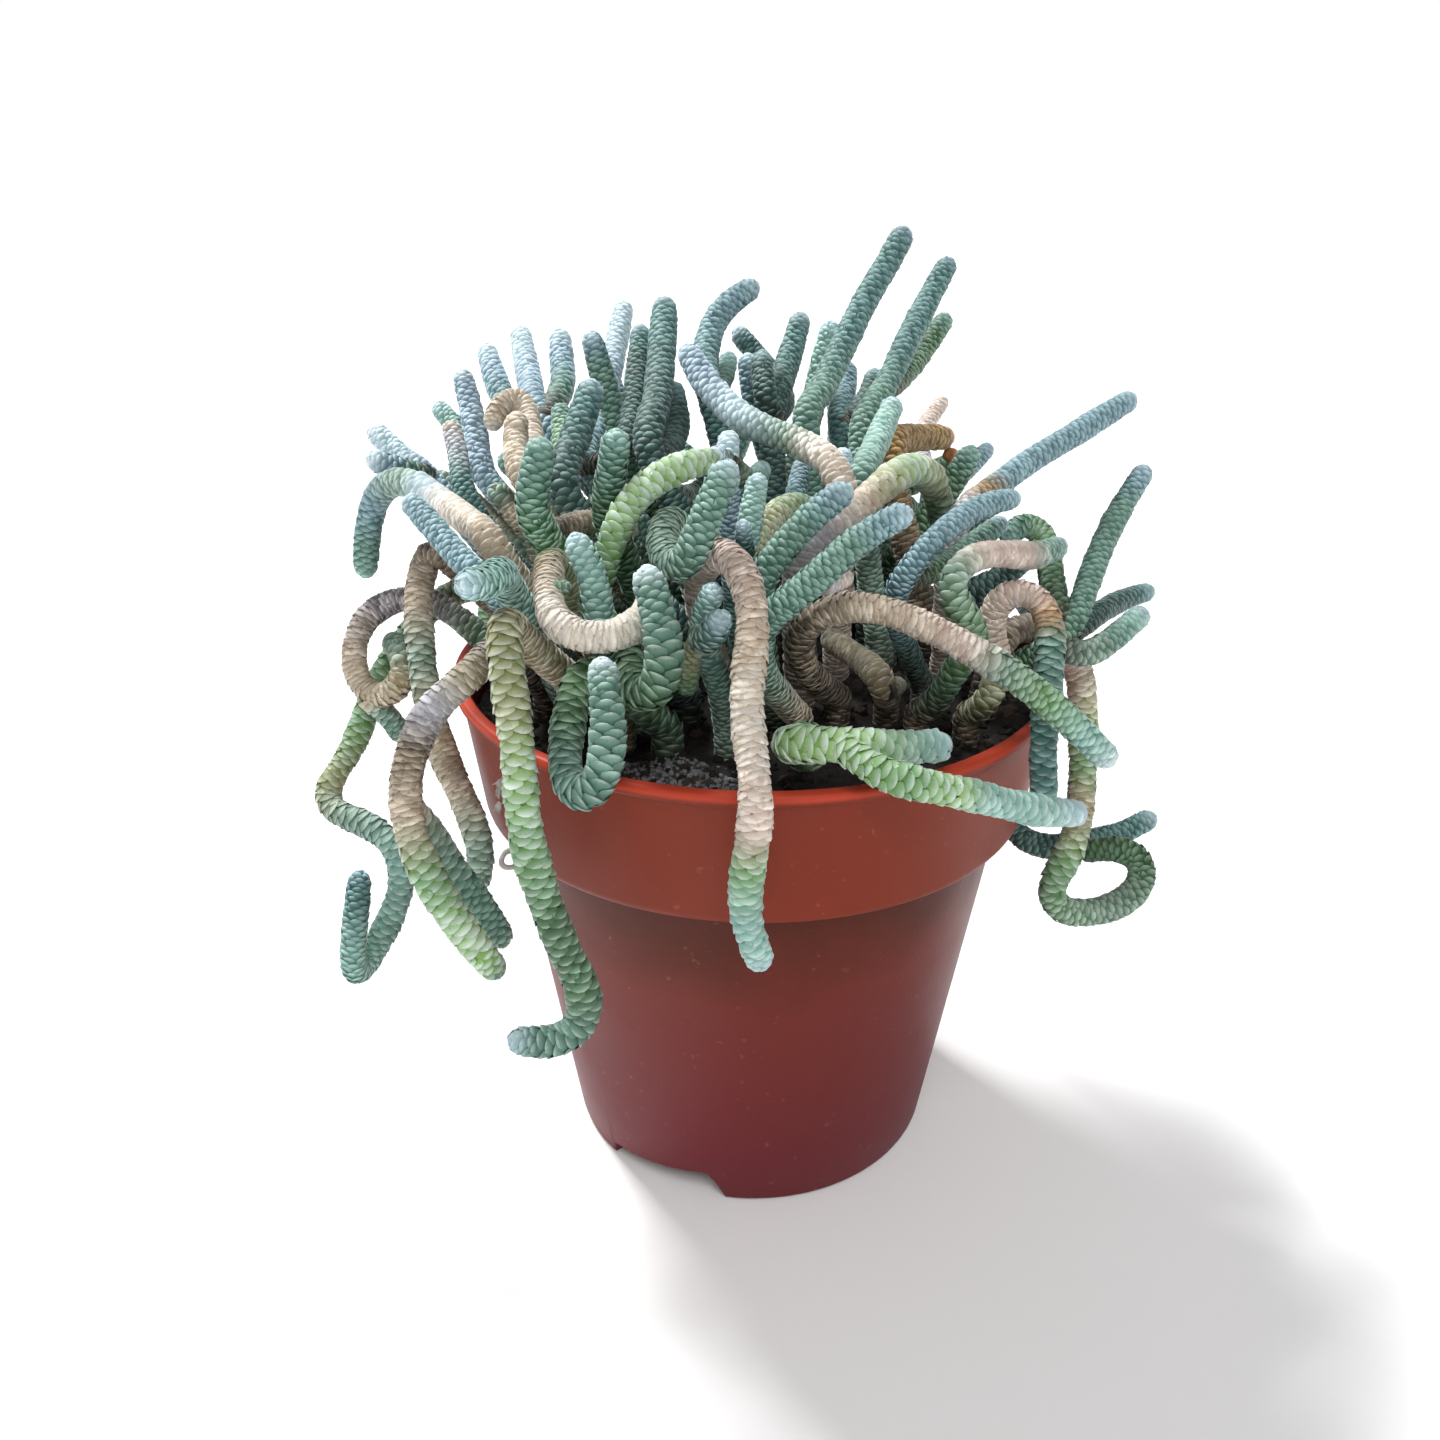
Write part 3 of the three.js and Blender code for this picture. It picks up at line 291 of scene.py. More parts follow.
# The stems' ways
# Worm-like stems rise from the soil, arch, curl and hang over the lip. They grew into one cushion and
# touch nothing, so ways that would cross are bent clear. Here a way is a line of points in millimetres.
SOIL_LEVEL = 53
SOIL_ROUGHNESS = 0.5
ROOT_DEPTH = 5
ROOT_REACH = 26.3
ROOT_SPACING = 5
ROOT_POINTS = 4
STEM_RADIUS = 1.5
SCALE_RISE = 0.16
WAY_STEP = 2
STEM_CLEARANCE = 0.75
WALL_CLEARANCE = 0.55
WALL_HALF = 0.6
CURVE_CUTS = 12

# How the ways settle: the shares of a push, its most in one round, how often neighbours are looked up,
# and how far along its own way, a fork's parent or a sister fork a strand is free to be close
SETTLE_ROUNDS = 320
LOOKUP_ROUNDS = 10
MAX_PUSH = 0.35
PUSH_SHARE = 0.3
FIRM_SHARE = 0.6
SPREAD_SHARE = 0.3
SAME_REACH = 7
PARENT_REACH = 8
SISTER_REACH = 6

# The ways are laid out on a pane that faces the viewer, square to a line of sight that looks down on
# the plant: a point is (across, rise, behind), as seen from the middle of the pane, and how far behind.
EYE = np.array((0, -126.4, 109.7))
LOOK_DOWN = math.radians(25.3)
LOOK_LEFT = math.radians(1.75)
PANE_DISTANCE = 124.7
sight = np.array((-math.sin(LOOK_LEFT) * math.cos(LOOK_DOWN), math.cos(LOOK_LEFT) * math.cos(LOOK_DOWN),
                  -math.sin(LOOK_DOWN)))
pane_right = np.array((math.cos(LOOK_LEFT), math.sin(LOOK_LEFT), 0))
pane_up = np.cross(pane_right, sight)

# Each stem is (colouring, share of the common radius, root in the soil, way, forks), and each fork is
# (the way's point it leaves at, colouring, share of the common radius, way).
FRONT_STEMS = [
    ("long drop", 0.98, (-12, -12), [(-17.8, 9.5, -10), (-19.3, 12, -13), (-20, 10, -16.5),
     (-19.6, 4, -17.8), (-19, -2, -18), (-18.9, -8, -17.5), (-18.3, -13, -16), (-17, -18, -15),
     (-15, -23.5, -13), (-13.2, -27, -11.5), (-13.1, -30, -11), (-15.2, -32.2, -11.5),
     (-18, -32.3, -12.5), (-20.3, -32, -13)], []),
    ("pink drop", 0.95, (-3, -10), [(-3, 13, -8), (-1, 16.4, -13), (0.8, 14.2, -16), (2, 11.5, -17.5),
     (2.2, 7, -18.5), (1.8, 2, -19), (2.4, -2.5, -20), (3.2, -6, -21), (3.3, -10, -21.5),
     (2.8, -14, -20), (2.2, -18, -18), (2.8, -21.5, -16.5), (4, -24.2, -15.5)], []),
    ("green loop", 0.98, (-9, -14), [(-12.8, 6, -9), (-14.8, 4.5, -11), (-15.6, 0, -13.5),
     (-16.2, -3.6, -16), (-15.5, -6.6, -18), (-13.2, -7.2, -20), (-11.9, -4.5, -20.5),
     (-11.6, 0, -20.5), (-12, 3.5, -19.5), (-12.3, 6, -19)], []),
    ("brown drop", 1, (-21, -6), [(-21, 7.5, -4), (-22.5, 6.2, -8), (-25.5, 3.5, -9), (-28.8, 1, -9),
     (-30, -2, -9.5), (-31.3, -5.5, -10), (-31.3, -9, -10.5), (-30.2, -13, -10.5), (-28, -17.5, -10),
     (-25.5, -21.2, -9), (-23.5, -23.5, -8.5),
     (-22.3, -25, -8)], [(6, "dusky hang", 0.96, [(-28.8, -11.5, -6.5), (-26.3, -15.5, -5.5),
     (-23.5, -19, -5), (-21.8, -22, -5)])]),
    ("cream bend", 0.92, (-16, -4), [(-17.5, 16, -4), (-19, 13.5, -12), (-18.6, 10.2, -15),
     (-16, 8.4, -16.5), (-12.5, 8.3, -16.5), (-9.3, 9.4, -15.5), (-7.8, 11.8, -13),
     (-6.8, 14.5, -10)], [(1, "young olive", 0.62, [(-17.6, 12.6, -12.5), (-16.9, 13.6, -13)])]),
    ("sea tip", 1.05, (-8, -5), [(-9.3, 8, -10), (-9.6, 5, -13), (-8.3, 2.7, -16), (-6.3, 3.6, -18),
     (-5.6, 6.5, -18.5), (-6.4, 10.5, -18.5), (-7.6, 14.8, -18)], []),
    ("aqua tip", 0.93, (-11, -8), [(-12.5, 8.6, -9), (-12.6, 10.6, -11), (-14.2, 14, -12),
     (-15.8, 17.3, -12)], []),
    ("lime arch", 0.92, (-9, -3), [(-12, 9, -6), (-11.6, 12, -8), (-10.6, 16, -9), (-9.3, 20, -9),
     (-7, 22.8, -9), (-3.8, 24.6, -8.5), (-0.5, 25.2, -6)], []),
    ("grey tip", 0.99, (-5, -6), [(-5.5, 19, -5), (-6.8, 18, -9), (-6.3, 14.8, -12),
     (-4, 13.8, -14.5), (-2.6, 16.5, -15.5), (-1, 20.5, -16), (0.7, 24, -16)], []),
    ("sage tip", 1.02, (-10, 2), [(-11.5, 19, -2), (-11, 22, -6), (-10.4, 25, -9),
     (-10.1, 27.2, -10)], []),
    ("leaf tip", 1.08, (-14, 1), [(-18.2, 18, -5), (-19, 21, -8), (-18.6, 24, -8.5),
     (-18, 26.2, -8.5)], [(0, "old tan", 0.9, [(-16.5, 17.6, -2.5), (-13.5, 18.3, -1),
     (-10.8, 18.5, 2), (-8.5, 17.5, 5)])]),
    ("seafoam", 1, (-19, -10), [(-20, 13, -12), (-20.8, 13.6, -17), (-22, 12.4, -20),
     (-24, 12.6, -22)], []),
    ("tan arch", 0.98, (-17, 2), [(-21, 15, 0), (-22.8, 18.2, -2), (-26, 20.6, 2), (-29, 22.8, 6),
     (-32, 24.4, 9), (-34.2, 23, 12), (-35, 20, 13), (-35.3, 17, 13.5), (-35.3, 15.2, 13.5)], []),
    ("blue arm", 0.85, (-18, -3), [(-21.5, 12, -4), (-23.5, 14, -5), (-26.5, 17, -3), (-29, 20, -1),
     (-30.8, 21.8, 0)], []),
    ("mixed hang", 0.97, (-24, 4), [(-28, 16.5, 8), (-29.3, 16.5, 10), (-30.3, 13, 9), (-30, 8, 7),
     (-29.3, 3, 6), (-28, -2, 5), (-26.5, -5.5, 4.5), (-24.8, -9, 4), (-23.3, -13, 4),
     (-24, -16.3, 4.5)], []),
    ("ring", 0.9, (-26, 0), [(-29, 12, 14), (-32, 11.8, 14), (-35, 10.8, 13), (-36.6, 7.5, 12),
     (-36.5, 4, 12), (-34.5, 1.9, 11.5), (-32, 3, 10.5), (-31.3, 5.6, 11),
     (-33, 8, 13.5)], [(5, "dusky hang", 0.9, [(-33, 0.5, 13.5), (-31.8, -1.6, 14)])]),
    ("zigzag", 0.9, (-25, 8), [(-24, 13.5, 18), (-29, 11, 18), (-33, 6, 17), (-35, 2, 17),
     (-36.5, -2.5, 16), (-38.5, -5.5, 15), (-39.9, -7.5, 14.5), (-38.5, -9.3, 13.5),
     (-35.5, -10.3, 12), (-32.6, -12.3, 11), (-31.6, -16, 11), (-33, -20, 11.5), (-35, -23.8, 11.5),
     (-36.4, -26, 9.5), (-36.8, -23.5, 7.2), (-36.4, -19.5, 7), (-36, -15.7, 7.5)], []),
    ("ice tip", 0.96, (-22, 12), [(-27, 24.5, 16), (-29.5, 26, 17), (-31.5, 27.8, 17.5),
     (-33.2, 29.5, 18)], [(0, "ice tip", 0.96, [(-30, 25.4, 13), (-33.4, 26.6, 12)])]),
    ("deep beige", 0.8, (-18, 10), [(-24.5, 22, 16), (-26, 26, 18), (-27, 29.2, 18.5)], []),
    ("lavender tip", 0.95, (-14, 14), [(-23, 23, 24), (-24, 27, 25), (-25, 31, 26),
     (-25.7, 33.8, 26.5)], [(0, "aqua tip", 0.87, [(-26, 28.5, 29), (-28.2, 31.1, 30)])]),
    ("ice tip", 1.08, (-8, 22), [(-17, 29, 36), (-18.6, 33, 42),
     (-19.7, 38.2, 48)], [(0, "ice tip", 1.08, [(-20.5, 31, 42), (-22.3, 35, 46), (-23, 37.2, 48)]),
     (0, "ice tip", 1.08, [(-16.2, 33, 41), (-16.3, 35, 44), (-16.5, 38.3, 46)])]),
    ("cream stump", 0.96, (-10, 10), [(-18.3, 22, 12), (-20, 26, 14),
     (-19.9, 29.5, 15.5)], [(0, "leaf tip", 0.83, [(-17.2, 26, 20), (-17.4, 31, 24)]),
     (0, "pink arch", 0.9, [(-18.6, 27, 22), (-19.5, 31.3, 25), (-22, 31, 24), (-23, 28.5, 23.5)])]),
    ("deep tip", 1.12, (-8, 6), [(-15.8, 22, 8), (-15.2, 26, 10), (-14, 30, 12),
     (-12.9, 33.2, 13)], []),
    ("ice tip", 0.95, (-4, 18), [(-13.2, 25, 24), (-12, 29, 30), (-10.8, 35, 36),
     (-9.6, 41.2, 40)], [(0, "deep tip", 0.9, [(-9.8, 27, 20), (-9.2, 32, 24), (-8.5, 38.8, 28)])]),
    ("deep tip", 1.08, (1, 13), [(-6.5, 25, 12), (-6, 31, 16), (-5.6, 36, 20),
     (-5.3, 41.2, 23)], [(0, "deep tip", 0.96, [(-4, 29, 18), (-4.1, 33.5, 22)])]),
    ("pink to blue", 1.02, (9, 4), [(11.5, 22, 2), (10.5, 25.5, 3), (7, 27.7, 5), (3, 29, 6),
     (0, 31.5, 8), (-2.2, 34.2, 9), (-3.4, 36.6, 10)], []),
    ("blue tip", 1.05, (2, 20), [(-0.8, 31, 22), (-1.4, 35, 26), (-0.4, 39.5, 28), (2, 42, 28.5),
     (3.4, 42.7, 28.5)], [(0, "aqua tip", 0.87, [(-0.2, 33.5, 27), (0.8, 36.6, 30)])]),
    ("deep tip", 1.02, (5, 24), [(5.2, 29, 28), (6.2, 34, 33),
     (7.6, 39, 34)], [(0, "deep tip", 0.92, [(4.6, 31, 25), (4.2, 35.6, 28)]),
     (0, "deep tip", 0.92, [(5.4, 33.5, 37), (3, 36.8, 38), (1.2, 39, 38)])]),
    ("tall", 1, (10, 11), [(8.5, 29, 14), (10, 32.5, 17), (12.4, 37.5, 20), (14.8, 42.5, 22),
     (17.3, 46.5, 23), (18.3, 48.6, 23)], []),
    ("blue tip", 0.98, (14, 17), [(12.2, 29, 30), (12.6, 32, 34),
     (13.1, 35.2, 37)], [(0, "deep tip", 0.92, [(14.4, 31, 31), (15.6, 34.5, 34)])]),
    ("tall", 1, (17, 13), [(14.5, 28, 24), (16.5, 32.5, 28), (18.5, 37, 31), (20.7, 41.5, 34),
     (22.8, 45.4, 35)], [(1, "sage tip", 0.92, [(19.5, 36, 36), (21.2, 38.5, 38), (22.4, 40.2, 39)])]),
    ("aqua tip", 0.93, (13, 5), [(13.5, 23, 6), (14.8, 26, 9), (16, 29, 12),
     (17.2, 31.5, 14)], [(0, "ice tip", 0.76, [(12, 24.5, 10), (12, 26.6, 12)])]),
    ("blue tip", 0.76, (7, 2), [(7.8, 20.5, 6), (8.3, 23, 8), (8.6, 25.6, 9.5)], []),
    ("ochre", 1.05, (19, 13), [(16.5, 26.6, 18), (18.5, 28, 22), (20.5, 28.3, 25),
     (22.4, 28.2, 28)], []),
    ("blue tip", 0.82, (21, 16), [(21, 23, 28), (22.5, 23.5, 31), (24.5, 25, 34),
     (26.4, 27, 36)], [(0, "pink tip", 0.78, [(20, 28, 40), (22.3, 31.6, 44)])]),
    ("ice tip", 0.81, (-2, 3), [(0.8, 25, 2),
     (0.9, 28.2, 3)], [(0, "ice tip", 0.81, [(-0.6, 26.5, -1)]),
     (0, "aqua tip", 0.81, [(3.4, 23.5, 5), (4.3, 25.5, 6)])]),
    ("aqua tip", 0.8, (0, -2), [(2.5, 17, -5), (3.2, 21, -5.5),
     (3.7, 24, -5.5)], [(0, "blue tip", 0.58, [(2.3, 17, -9), (2.2, 19.5, -10)]),
     (0, "young olive", 0.9, [(5.8, 20.6, -2), (8, 21.6, 0), (9.6, 21.2, 3)])]),
    ("pale arch", 1.02, (6, -3), [(8.5, 17, -3), (11.5, 19.3, -3), (15, 22, -3), (18.3, 25, 0),
     (20.8, 24.8, 4), (22, 22, 8), (22.3, 19.5, 11)], []),
    ("rope", 0.92, (2, -9), [(3.7, 12.5, -10), (5.2, 15.5, -11), (7.5, 18.5, -11), (10.2, 21.2, -11),
     (12.6, 22.9, -11)], []),
    ("rope lavender", 0.9, (4, -12), [(3.8, 5, -9), (3.6, 9, -12), (5.5, 11, -14), (9, 13.6, -15),
     (12.5, 17, -15.5), (15.5, 19.3, -15.5),
     (18.4, 20.6, -15.5)], [(3, "pink tip", 0.71, [(10.8, 13.2, -12), (12.6, 14, -11.5)])]),
    ("blue arm", 0.77, (18, -3), [(17.5, 11, -4), (18.5, 14, -7), (21, 17, -8), (24, 19.8, -6),
     (27, 21.5, -3), (29.6, 22, -1)], [(1, "rope", 0.77, [(22.5, 15.2, -2), (25, 17.2, 0),
     (28.2, 19.6, 3)])]),
    ("long arm", 0.88, (21, 4), [(23.5, 19.5, 4), (27, 22.8, 7), (30.5, 25.6, 10), (34.5, 28, 12),
     (38.5, 30.5, 14), (41, 32, 15)], []),
    ("rope", 0.86, (25, -1), [(33.5, 8, 6), (35.8, 12, 8), (37.3, 16, 10), (39.5, 20.5, 12),
     (42.2, 24.8, 13)], [(0, "deep tip", 0.8, [(38.5, 11.3, 14), (41.8, 12.4, 16)]),
     (0, "aqua tip", 0.92, [(35, 5.5, 6), (38.5, 8, 7), (41.2, 10.3, 8)]),
     (0, "leaf tip", 0.92, [(32, 14, 10), (31.8, 18, 12), (29.8, 20, 12), (28, 18, 11)])]),
    ("green s", 0.86, (17, -10), [(21.8, 2, 0), (24.5, 6.5, -6), (26.3, 8.5, -6.5), (23.5, 11, -9),
     (22.5, 13.7, -9.5), (24.5, 15.9, -8), (28, 16.4, -5), (31.5, 16, -2), (33.8, 17, 1)], []),
    ("brown arch", 0.88, (20, -11), [(25, 1.5, -1), (27, 5, -2), (26, 9.5, -3), (27, 12.8, -5),
     (30, 13.6, -5.5), (32.3, 11.5, -6), (32.5, 7, -7.5), (32.2, 2, -8.5), (31.8, -3, -8.5),
     (32, -8, -7)], []),
    ("long right", 0.92, (9, -7), [(9, 5, -3), (7.7, 8.8, -7), (11, 11.6, -9), (15.5, 11.8, -10),
     (20, 10, -11), (24, 8, -11.5), (28, 5.5, -12), (32, 2.7, -12.5), (35.5, -0.5, -13),
     (37.5, -2.6, -13), (38.8, -3.8, -13)], []),
    ("lime branch", 1.02, (5, -16), [(6.5, -2.5, -14), (8.5, -2.6, -15.5), (12, -2.8, -17),
     (16, -3.3, -17), (19.5, -3.4, -15),
     (22.2, -3.4, -13.5)], [(2, "aqua branch", 0.9, [(16, -5.8, -20), (20, -6.6, -20),
     (25, -7.6, -18), (30, -8.8, -15), (34, -9.4, -12), (35.8, -9.3, -10.5)])]),
    ("curl", 1, (26, -6), [(30.5, 8.5, 6.5), (34, 8, 8), (36.3, 3, 10.5), (36.4, -3, 12),
     (36, -10, 12), (34.8, -14, 12), (32.7, -16.8, 12.5), (33.5, -19.2, 13), (37, -19.4, 13.5),
     (41, -18, 14), (42.8, -15, 14.5), (41.3, -12.9, 15), (38.5, -12.7, 16), (36.5, -13.2, 17)], []),
    ("deep tip", 0.93, (22, 12), [(28, 13, 26), (31, 9, 28), (31, 2, 26), (29.5, -6, 24),
     (29, -11, 22), (32, -12.8, 21), (36, -12.3, 21), (40, -11.5, 21), (43, -9.8, 21)], []),
    ("aqua tip", 0.81, (-4, -14), [(-3, 10, -10), (-2.6, 12, -12),
     (-1.6, 14.3, -13)], [(0, "thick blue", 0.92, [(-1.9, 9, -14.5), (0, 11.6, -16)]),
     (0, "young olive", 0.76, [(-3.8, 7, -7), (-3.3, 4, -5)])]),
    ("old tan", 0.9, (13.8, -8), [(16, 2.5, -2), (15, 4.3, 0), (12.5, 5.7, 3),
     (9.5, 7.5, 6)], [(0, "old tan", 0.71, [(17.6, 3, 0)])]),
]

# The stems at the back of the cushion follow a rule: how many, between which turns round the pot, how
# they are coloured, and where the fixed series of numbers that varies them starts
BACK_STEMS = 7
BACK_TURNS = (38, 150)
BACK_LOOKS = ("deep tip", "sage tip", "blue tip", "aqua tip", "rope", "leaf tip", "mixed hang")
back_draw = 20.0


def draw(low, high):
    """The next number of a fixed series, between low and high."""
    global back_draw
    back_draw = (back_draw * 1103515245 + 12345) % 2147483648
    return low + (high - low) * back_draw / 2147483648


def through_pane(point):
    """The place of a pane point in the pot's frame."""
    across, rise, behind = point
    reach = (PANE_DISTANCE + behind) / PANE_DISTANCE
    return EYE + reach * (PANE_DISTANCE * sight + across * pane_right + rise * pane_up)


def back_stem(index):
    """A stem of the cushion's back: it arches out, then stands up or hangs, and forks twice."""
    turn = BACK_TURNS[0] + (BACK_TURNS[1] - BACK_TURNS[0]) * index / (BACK_STEMS - 1) + draw(-4, 4)
    hangs = index % 2 == 1
    drop = max(0, (75 - turn) * 0.2, (turn - 105) * 0.1)
    reach = draw(37, 42)
    crown = draw(66, 72) - drop
    end = draw(24, 36) if hangs else draw(80, 88) - 3 * drop
    sway = draw(-12, 12)
    way = [
        around(turn, 27, 61 - 0.5 * drop),
        around(turn + sway * 0.3, 33, crown),
        around(turn + sway * 0.6, reach, crown - 4 if hangs else crown + 4),
        around(turn + sway, reach + 2, 0.5 * (crown + end) + (0 if hangs else 2)),
        around(turn + sway * 1.2, reach + (1 if hangs else 5), end),
    ]
    side = -1 if draw(0, 1) < 0.5 else 1
    inner = [around(turn + side * 10, 27, 68 - drop), around(turn + side * 14, 30, 77 - 2 * drop),
             around(turn + side * 17, 33, draw(83, 90) - 3 * drop)]
    outer = [around(turn - side * 9, 38, 67 - drop), around(turn - side * 16, 42, 70 - drop),
             around(turn - side * 20, 45, draw(72, 80) - 2 * drop)]
    look = BACK_LOOKS[index]
    return look, 1, around(turn, 21, 0)[:2], way, [(0, look, 1, inner), (1, BACK_LOOKS[index - 1], 1, outer)]


def smooth_line(points, step):
    """A smooth line through the points, cut into steps of equal length."""
    points = np.asarray(points, float)
    fine = []
    for i in range(len(points) - 1):
        a, b = points[max(i - 1, 0)], points[i]
        c, d = points[i + 1], points[min(i + 2, len(points) - 1)]
        for t in np.arange(CURVE_CUTS) / CURVE_CUTS:
            fine.append((-0.5 * t + t * t - 0.5 * t ** 3) * a + (1 - 2.5 * t * t + 1.5 * t ** 3) * b
                        + (0.5 * t + 2 * t * t - 1.5 * t ** 3) * c + (-0.5 * t * t + 0.5 * t ** 3) * d)
    fine = np.array(fine + [points[-1]])
    along = np.concatenate(([0], np.cumsum(np.linalg.norm(np.diff(fine, axis=0), axis=1))))
    count = max(2, int(along[-1] / step + 0.5))
    wanted = along[-1] * np.arange(count + 1) / count
    return np.stack([np.interp(wanted, along, fine[:, k]) for k in range(3)], axis=1)


# A strand is one stem from its root to its tip, or one fork
strands = []
stems = [(look, thick, root, [through_pane(p) for p in way],
          [(at, own, share, [through_pane(p) for p in branch]) for at, own, share, branch in forks])
         for look, thick, root, way, forks in FRONT_STEMS]
stems += [back_stem(i) for i in range(BACK_STEMS)]
for number, (look, thick, root, way, forks) in enumerate(stems):
    line = smooth_line([(*root, SOIL_LEVEL + 3), *way], WAY_STEP)
    foot = [(*root, SOIL_LEVEL - ROOT_DEPTH), (*root, SOIL_LEVEL - 2), (*root, SOIL_LEVEL + 0.5)]
    main = {"stem": number, "look": look, "radius": STEM_RADIUS * thick, "rooted": ROOT_POINTS,
            "parent": None, "at": 0, "points": np.concatenate((foot, line))}
    strands.append(main)
    for at, own, share, branch in forks:
        distance = np.linalg.norm(main["points"][ROOT_POINTS:] - way[at], axis=1)
        leaves = ROOT_POINTS + int(np.argmin(distance))
        points = smooth_line([main["points"][leaves], *branch], WAY_STEP)
        strands.append({"stem": number, "look": own, "radius": STEM_RADIUS * share, "rooted": 0,
                        "parent": main, "at": leaves, "points": points})

# The wall as the stems see it: (radius, height) points that they keep clear of on either side
wall_line = np.array([
    (LIP_RADIUS - 0.5, POT_HEIGHT - 0.5), (COLLAR_FOOT - 0.5, POT_HEIGHT - COLLAR_HEIGHT + 0.4),
    (BODY_TOP - 0.5, POT_HEIGHT - COLLAR_HEIGHT), (BASE_RADIUS - 0.5, 0.5),
])


def push_off_wall(places, keep):
    """How far each place has to move to be as clear of the pot's wall as it should."""
    radius = np.hypot(places[:, 0], places[:, 1])
    spots = np.stack((radius, places[:, 2]), axis=1)
    best = np.full(len(places), np.inf)
    away = np.zeros((len(places), 2))
    for low, high in zip(wall_line, wall_line[1:]):
        t = np.clip((spots - low) @ (high - low) / ((high - low) @ (high - low)), 0, 1)
        offset = spots - low - t[:, None] * (high - low)
        distance = np.linalg.norm(offset, axis=1)
        nearer = distance < best
        best[nearer] = distance[nearer]
        away[nearer] = offset[nearer] / distance[nearer, None]
    short = np.maximum(keep - best, 0)
    flat = places[:, :2] / radius[:, None] * (away[:, 0] * short)[:, None]
    return np.column_stack((flat, away[:, 1] * short))


def settle(rounds):
    """Pushes the strands apart a little at a time. Each push spreads along its strand."""
    for first, strand in zip(np.cumsum([0] + [len(s["points"]) for s in strands]), strands):
        strand["first"] = int(first)
    home = np.concatenate([s["points"] for s in strands])
    owner = np.concatenate([[k] * len(s["points"]) for k, s in enumerate(strands)])
    order = np.concatenate([np.arange(len(s["points"])) for s in strands])
    radius = np.array([s["radius"] for s in strands])[owner]
    in_root = order < np.array([s["rooted"] for s in strands])[owner]
    parents = [next((k for k, s in enumerate(strands) if s is one["parent"]), -1) for one in strands]
    parent = np.array(parents)[owner]
    at = np.array([s["at"] for s in strands])[owner]
    lower = np.array([i - 1 if order[i] > 0 else i for i in range(len(home))])
    upper = np.array([i + 1 if i + 1 < len(home) and order[i + 1] > 0 else i for i in range(len(home))])
    keep = radius + SCALE_RISE + WALL_HALF + WALL_CLEARANCE
    place, shift = home.copy(), np.zeros_like(home)
    for step in range(rounds):
        if step % LOOKUP_ROUNDS == 0:
            gaps = np.linalg.norm(place[:, None] - place[None], axis=2)
            a, b = np.nonzero(np.triu(gaps < ROOT_SPACING + 2 * LOOKUP_ROUNDS * MAX_PUSH, 1))
            same = (owner[a] == owner[b]) & (abs(order[a] - order[b]) * WAY_STEP < SAME_REACH)
            child, other = np.where(parent[a] == owner[b], a, b), np.where(parent[a] == owner[b], b, a)
            leaves = ((parent[child] == owner[other]) & (order[child] * WAY_STEP < SAME_REACH)
                      & (abs(order[other] - at[child]) * WAY_STEP < PARENT_REACH))
            sisters = ((parent[a] >= 0) & (parent[a] == parent[b])
                       & (abs(at[a] - at[b]) * WAY_STEP < SISTER_REACH)
                       & (order[a] * WAY_STEP < SAME_REACH) & (order[b] * WAY_STEP < SAME_REACH))
            used = ~(same | leaves | sisters)
            a, b = a[used], b[used]
            need = radius[a] + radius[b] + 2 * SCALE_RISE + STEM_CLEARANCE
            need = np.where(in_root[a] & in_root[b], np.maximum(need, ROOT_SPACING), need)
        between = place[a] - place[b]
        distance = np.linalg.norm(between, axis=1)
        near = (distance < need) & (distance > 1e-9)
        share = np.where(near, PUSH_SHARE * (need - distance) / np.maximum(distance, 1e-9), 0)
        push = np.zeros_like(place)
        np.add.at(push, a, between * share[:, None])
        np.add.at(push, b, -between * share[:, None])
        reach = np.hypot(place[:, 0], place[:, 1])
        beyond = in_root & (reach > ROOT_REACH)
        push[beyond, :2] -= place[beyond, :2] * (1 - ROOT_REACH / reach[beyond])[:, None]
        free = ~in_root
        push[free] += FIRM_SHARE * push_off_wall(place[free], keep[free])
        over_soil = (reach < LIP_RADIUS - 1) & (place[:, 2] < POT_HEIGHT) & (place[:, 2] > SOIL_LEVEL - 4)
        sunk = np.where(over_soil, SOIL_LEVEL + SOIL_ROUGHNESS, 0) + keep - WALL_HALF - place[:, 2]
        push[:, 2] += np.where(free & (sunk > 0), FIRM_SHARE * sunk, 0)
        length = np.linalg.norm(push, axis=1)
        push *= np.minimum(1, MAX_PUSH / np.maximum(length, 1e-9))[:, None]
        shift += push
        fading = 1 if step < rounds * 0.6 else (rounds - step) / (rounds * 0.4)
        shift += SPREAD_SHARE * fading * (0.5 * shift[lower] + 0.5 * shift[upper] - shift)
        for strand in strands:
            first = strand["first"]
            if strand["rooted"]:
                shift[first:first + ROOT_POINTS] = shift[first:first + ROOT_POINTS].mean(axis=0) * (1, 1, 0)
            else:
                shift[first] = shift[strand["parent"]["first"] + strand["at"]]
        place = home + shift
    for strand in strands:
        strand["points"] = place[strand["first"]:strand["first"] + len(strand["points"])]


settle(SETTLE_ROUNDS)

# A last smoothing of each way, without its root
for strand in strands:
    firm = max(strand["rooted"], 1)
    for _ in range(2):
        kept = strand["points"].copy()
        strand["points"][firm:-1] = 0.5 * kept[firm:-1] + 0.25 * (kept[firm - 1:-2] + kept[firm + 1:])

# The scaly stems
# Each stem is a fleshy cord under small papery scales that overlap towards its tip and wind round it. On
# young growth they are small and close, like knitting. On old, hanging growth they have spread into wide
# crescents, and where the stem has dried they are crowded and thin.
AGES = ("Young", "Old", "Dry")

# Shares of the stem's radius from one scale to the next, and the golden angle of leaf growth in degrees
SPACING = {"Young": 0.057, "Old": 0.097, "Dry": 0.064}
TURN = 137.5
UNEVENNESS = 0.04

# Seeds this far apart give each random value a series of its own
SEED_GAP = 100.0

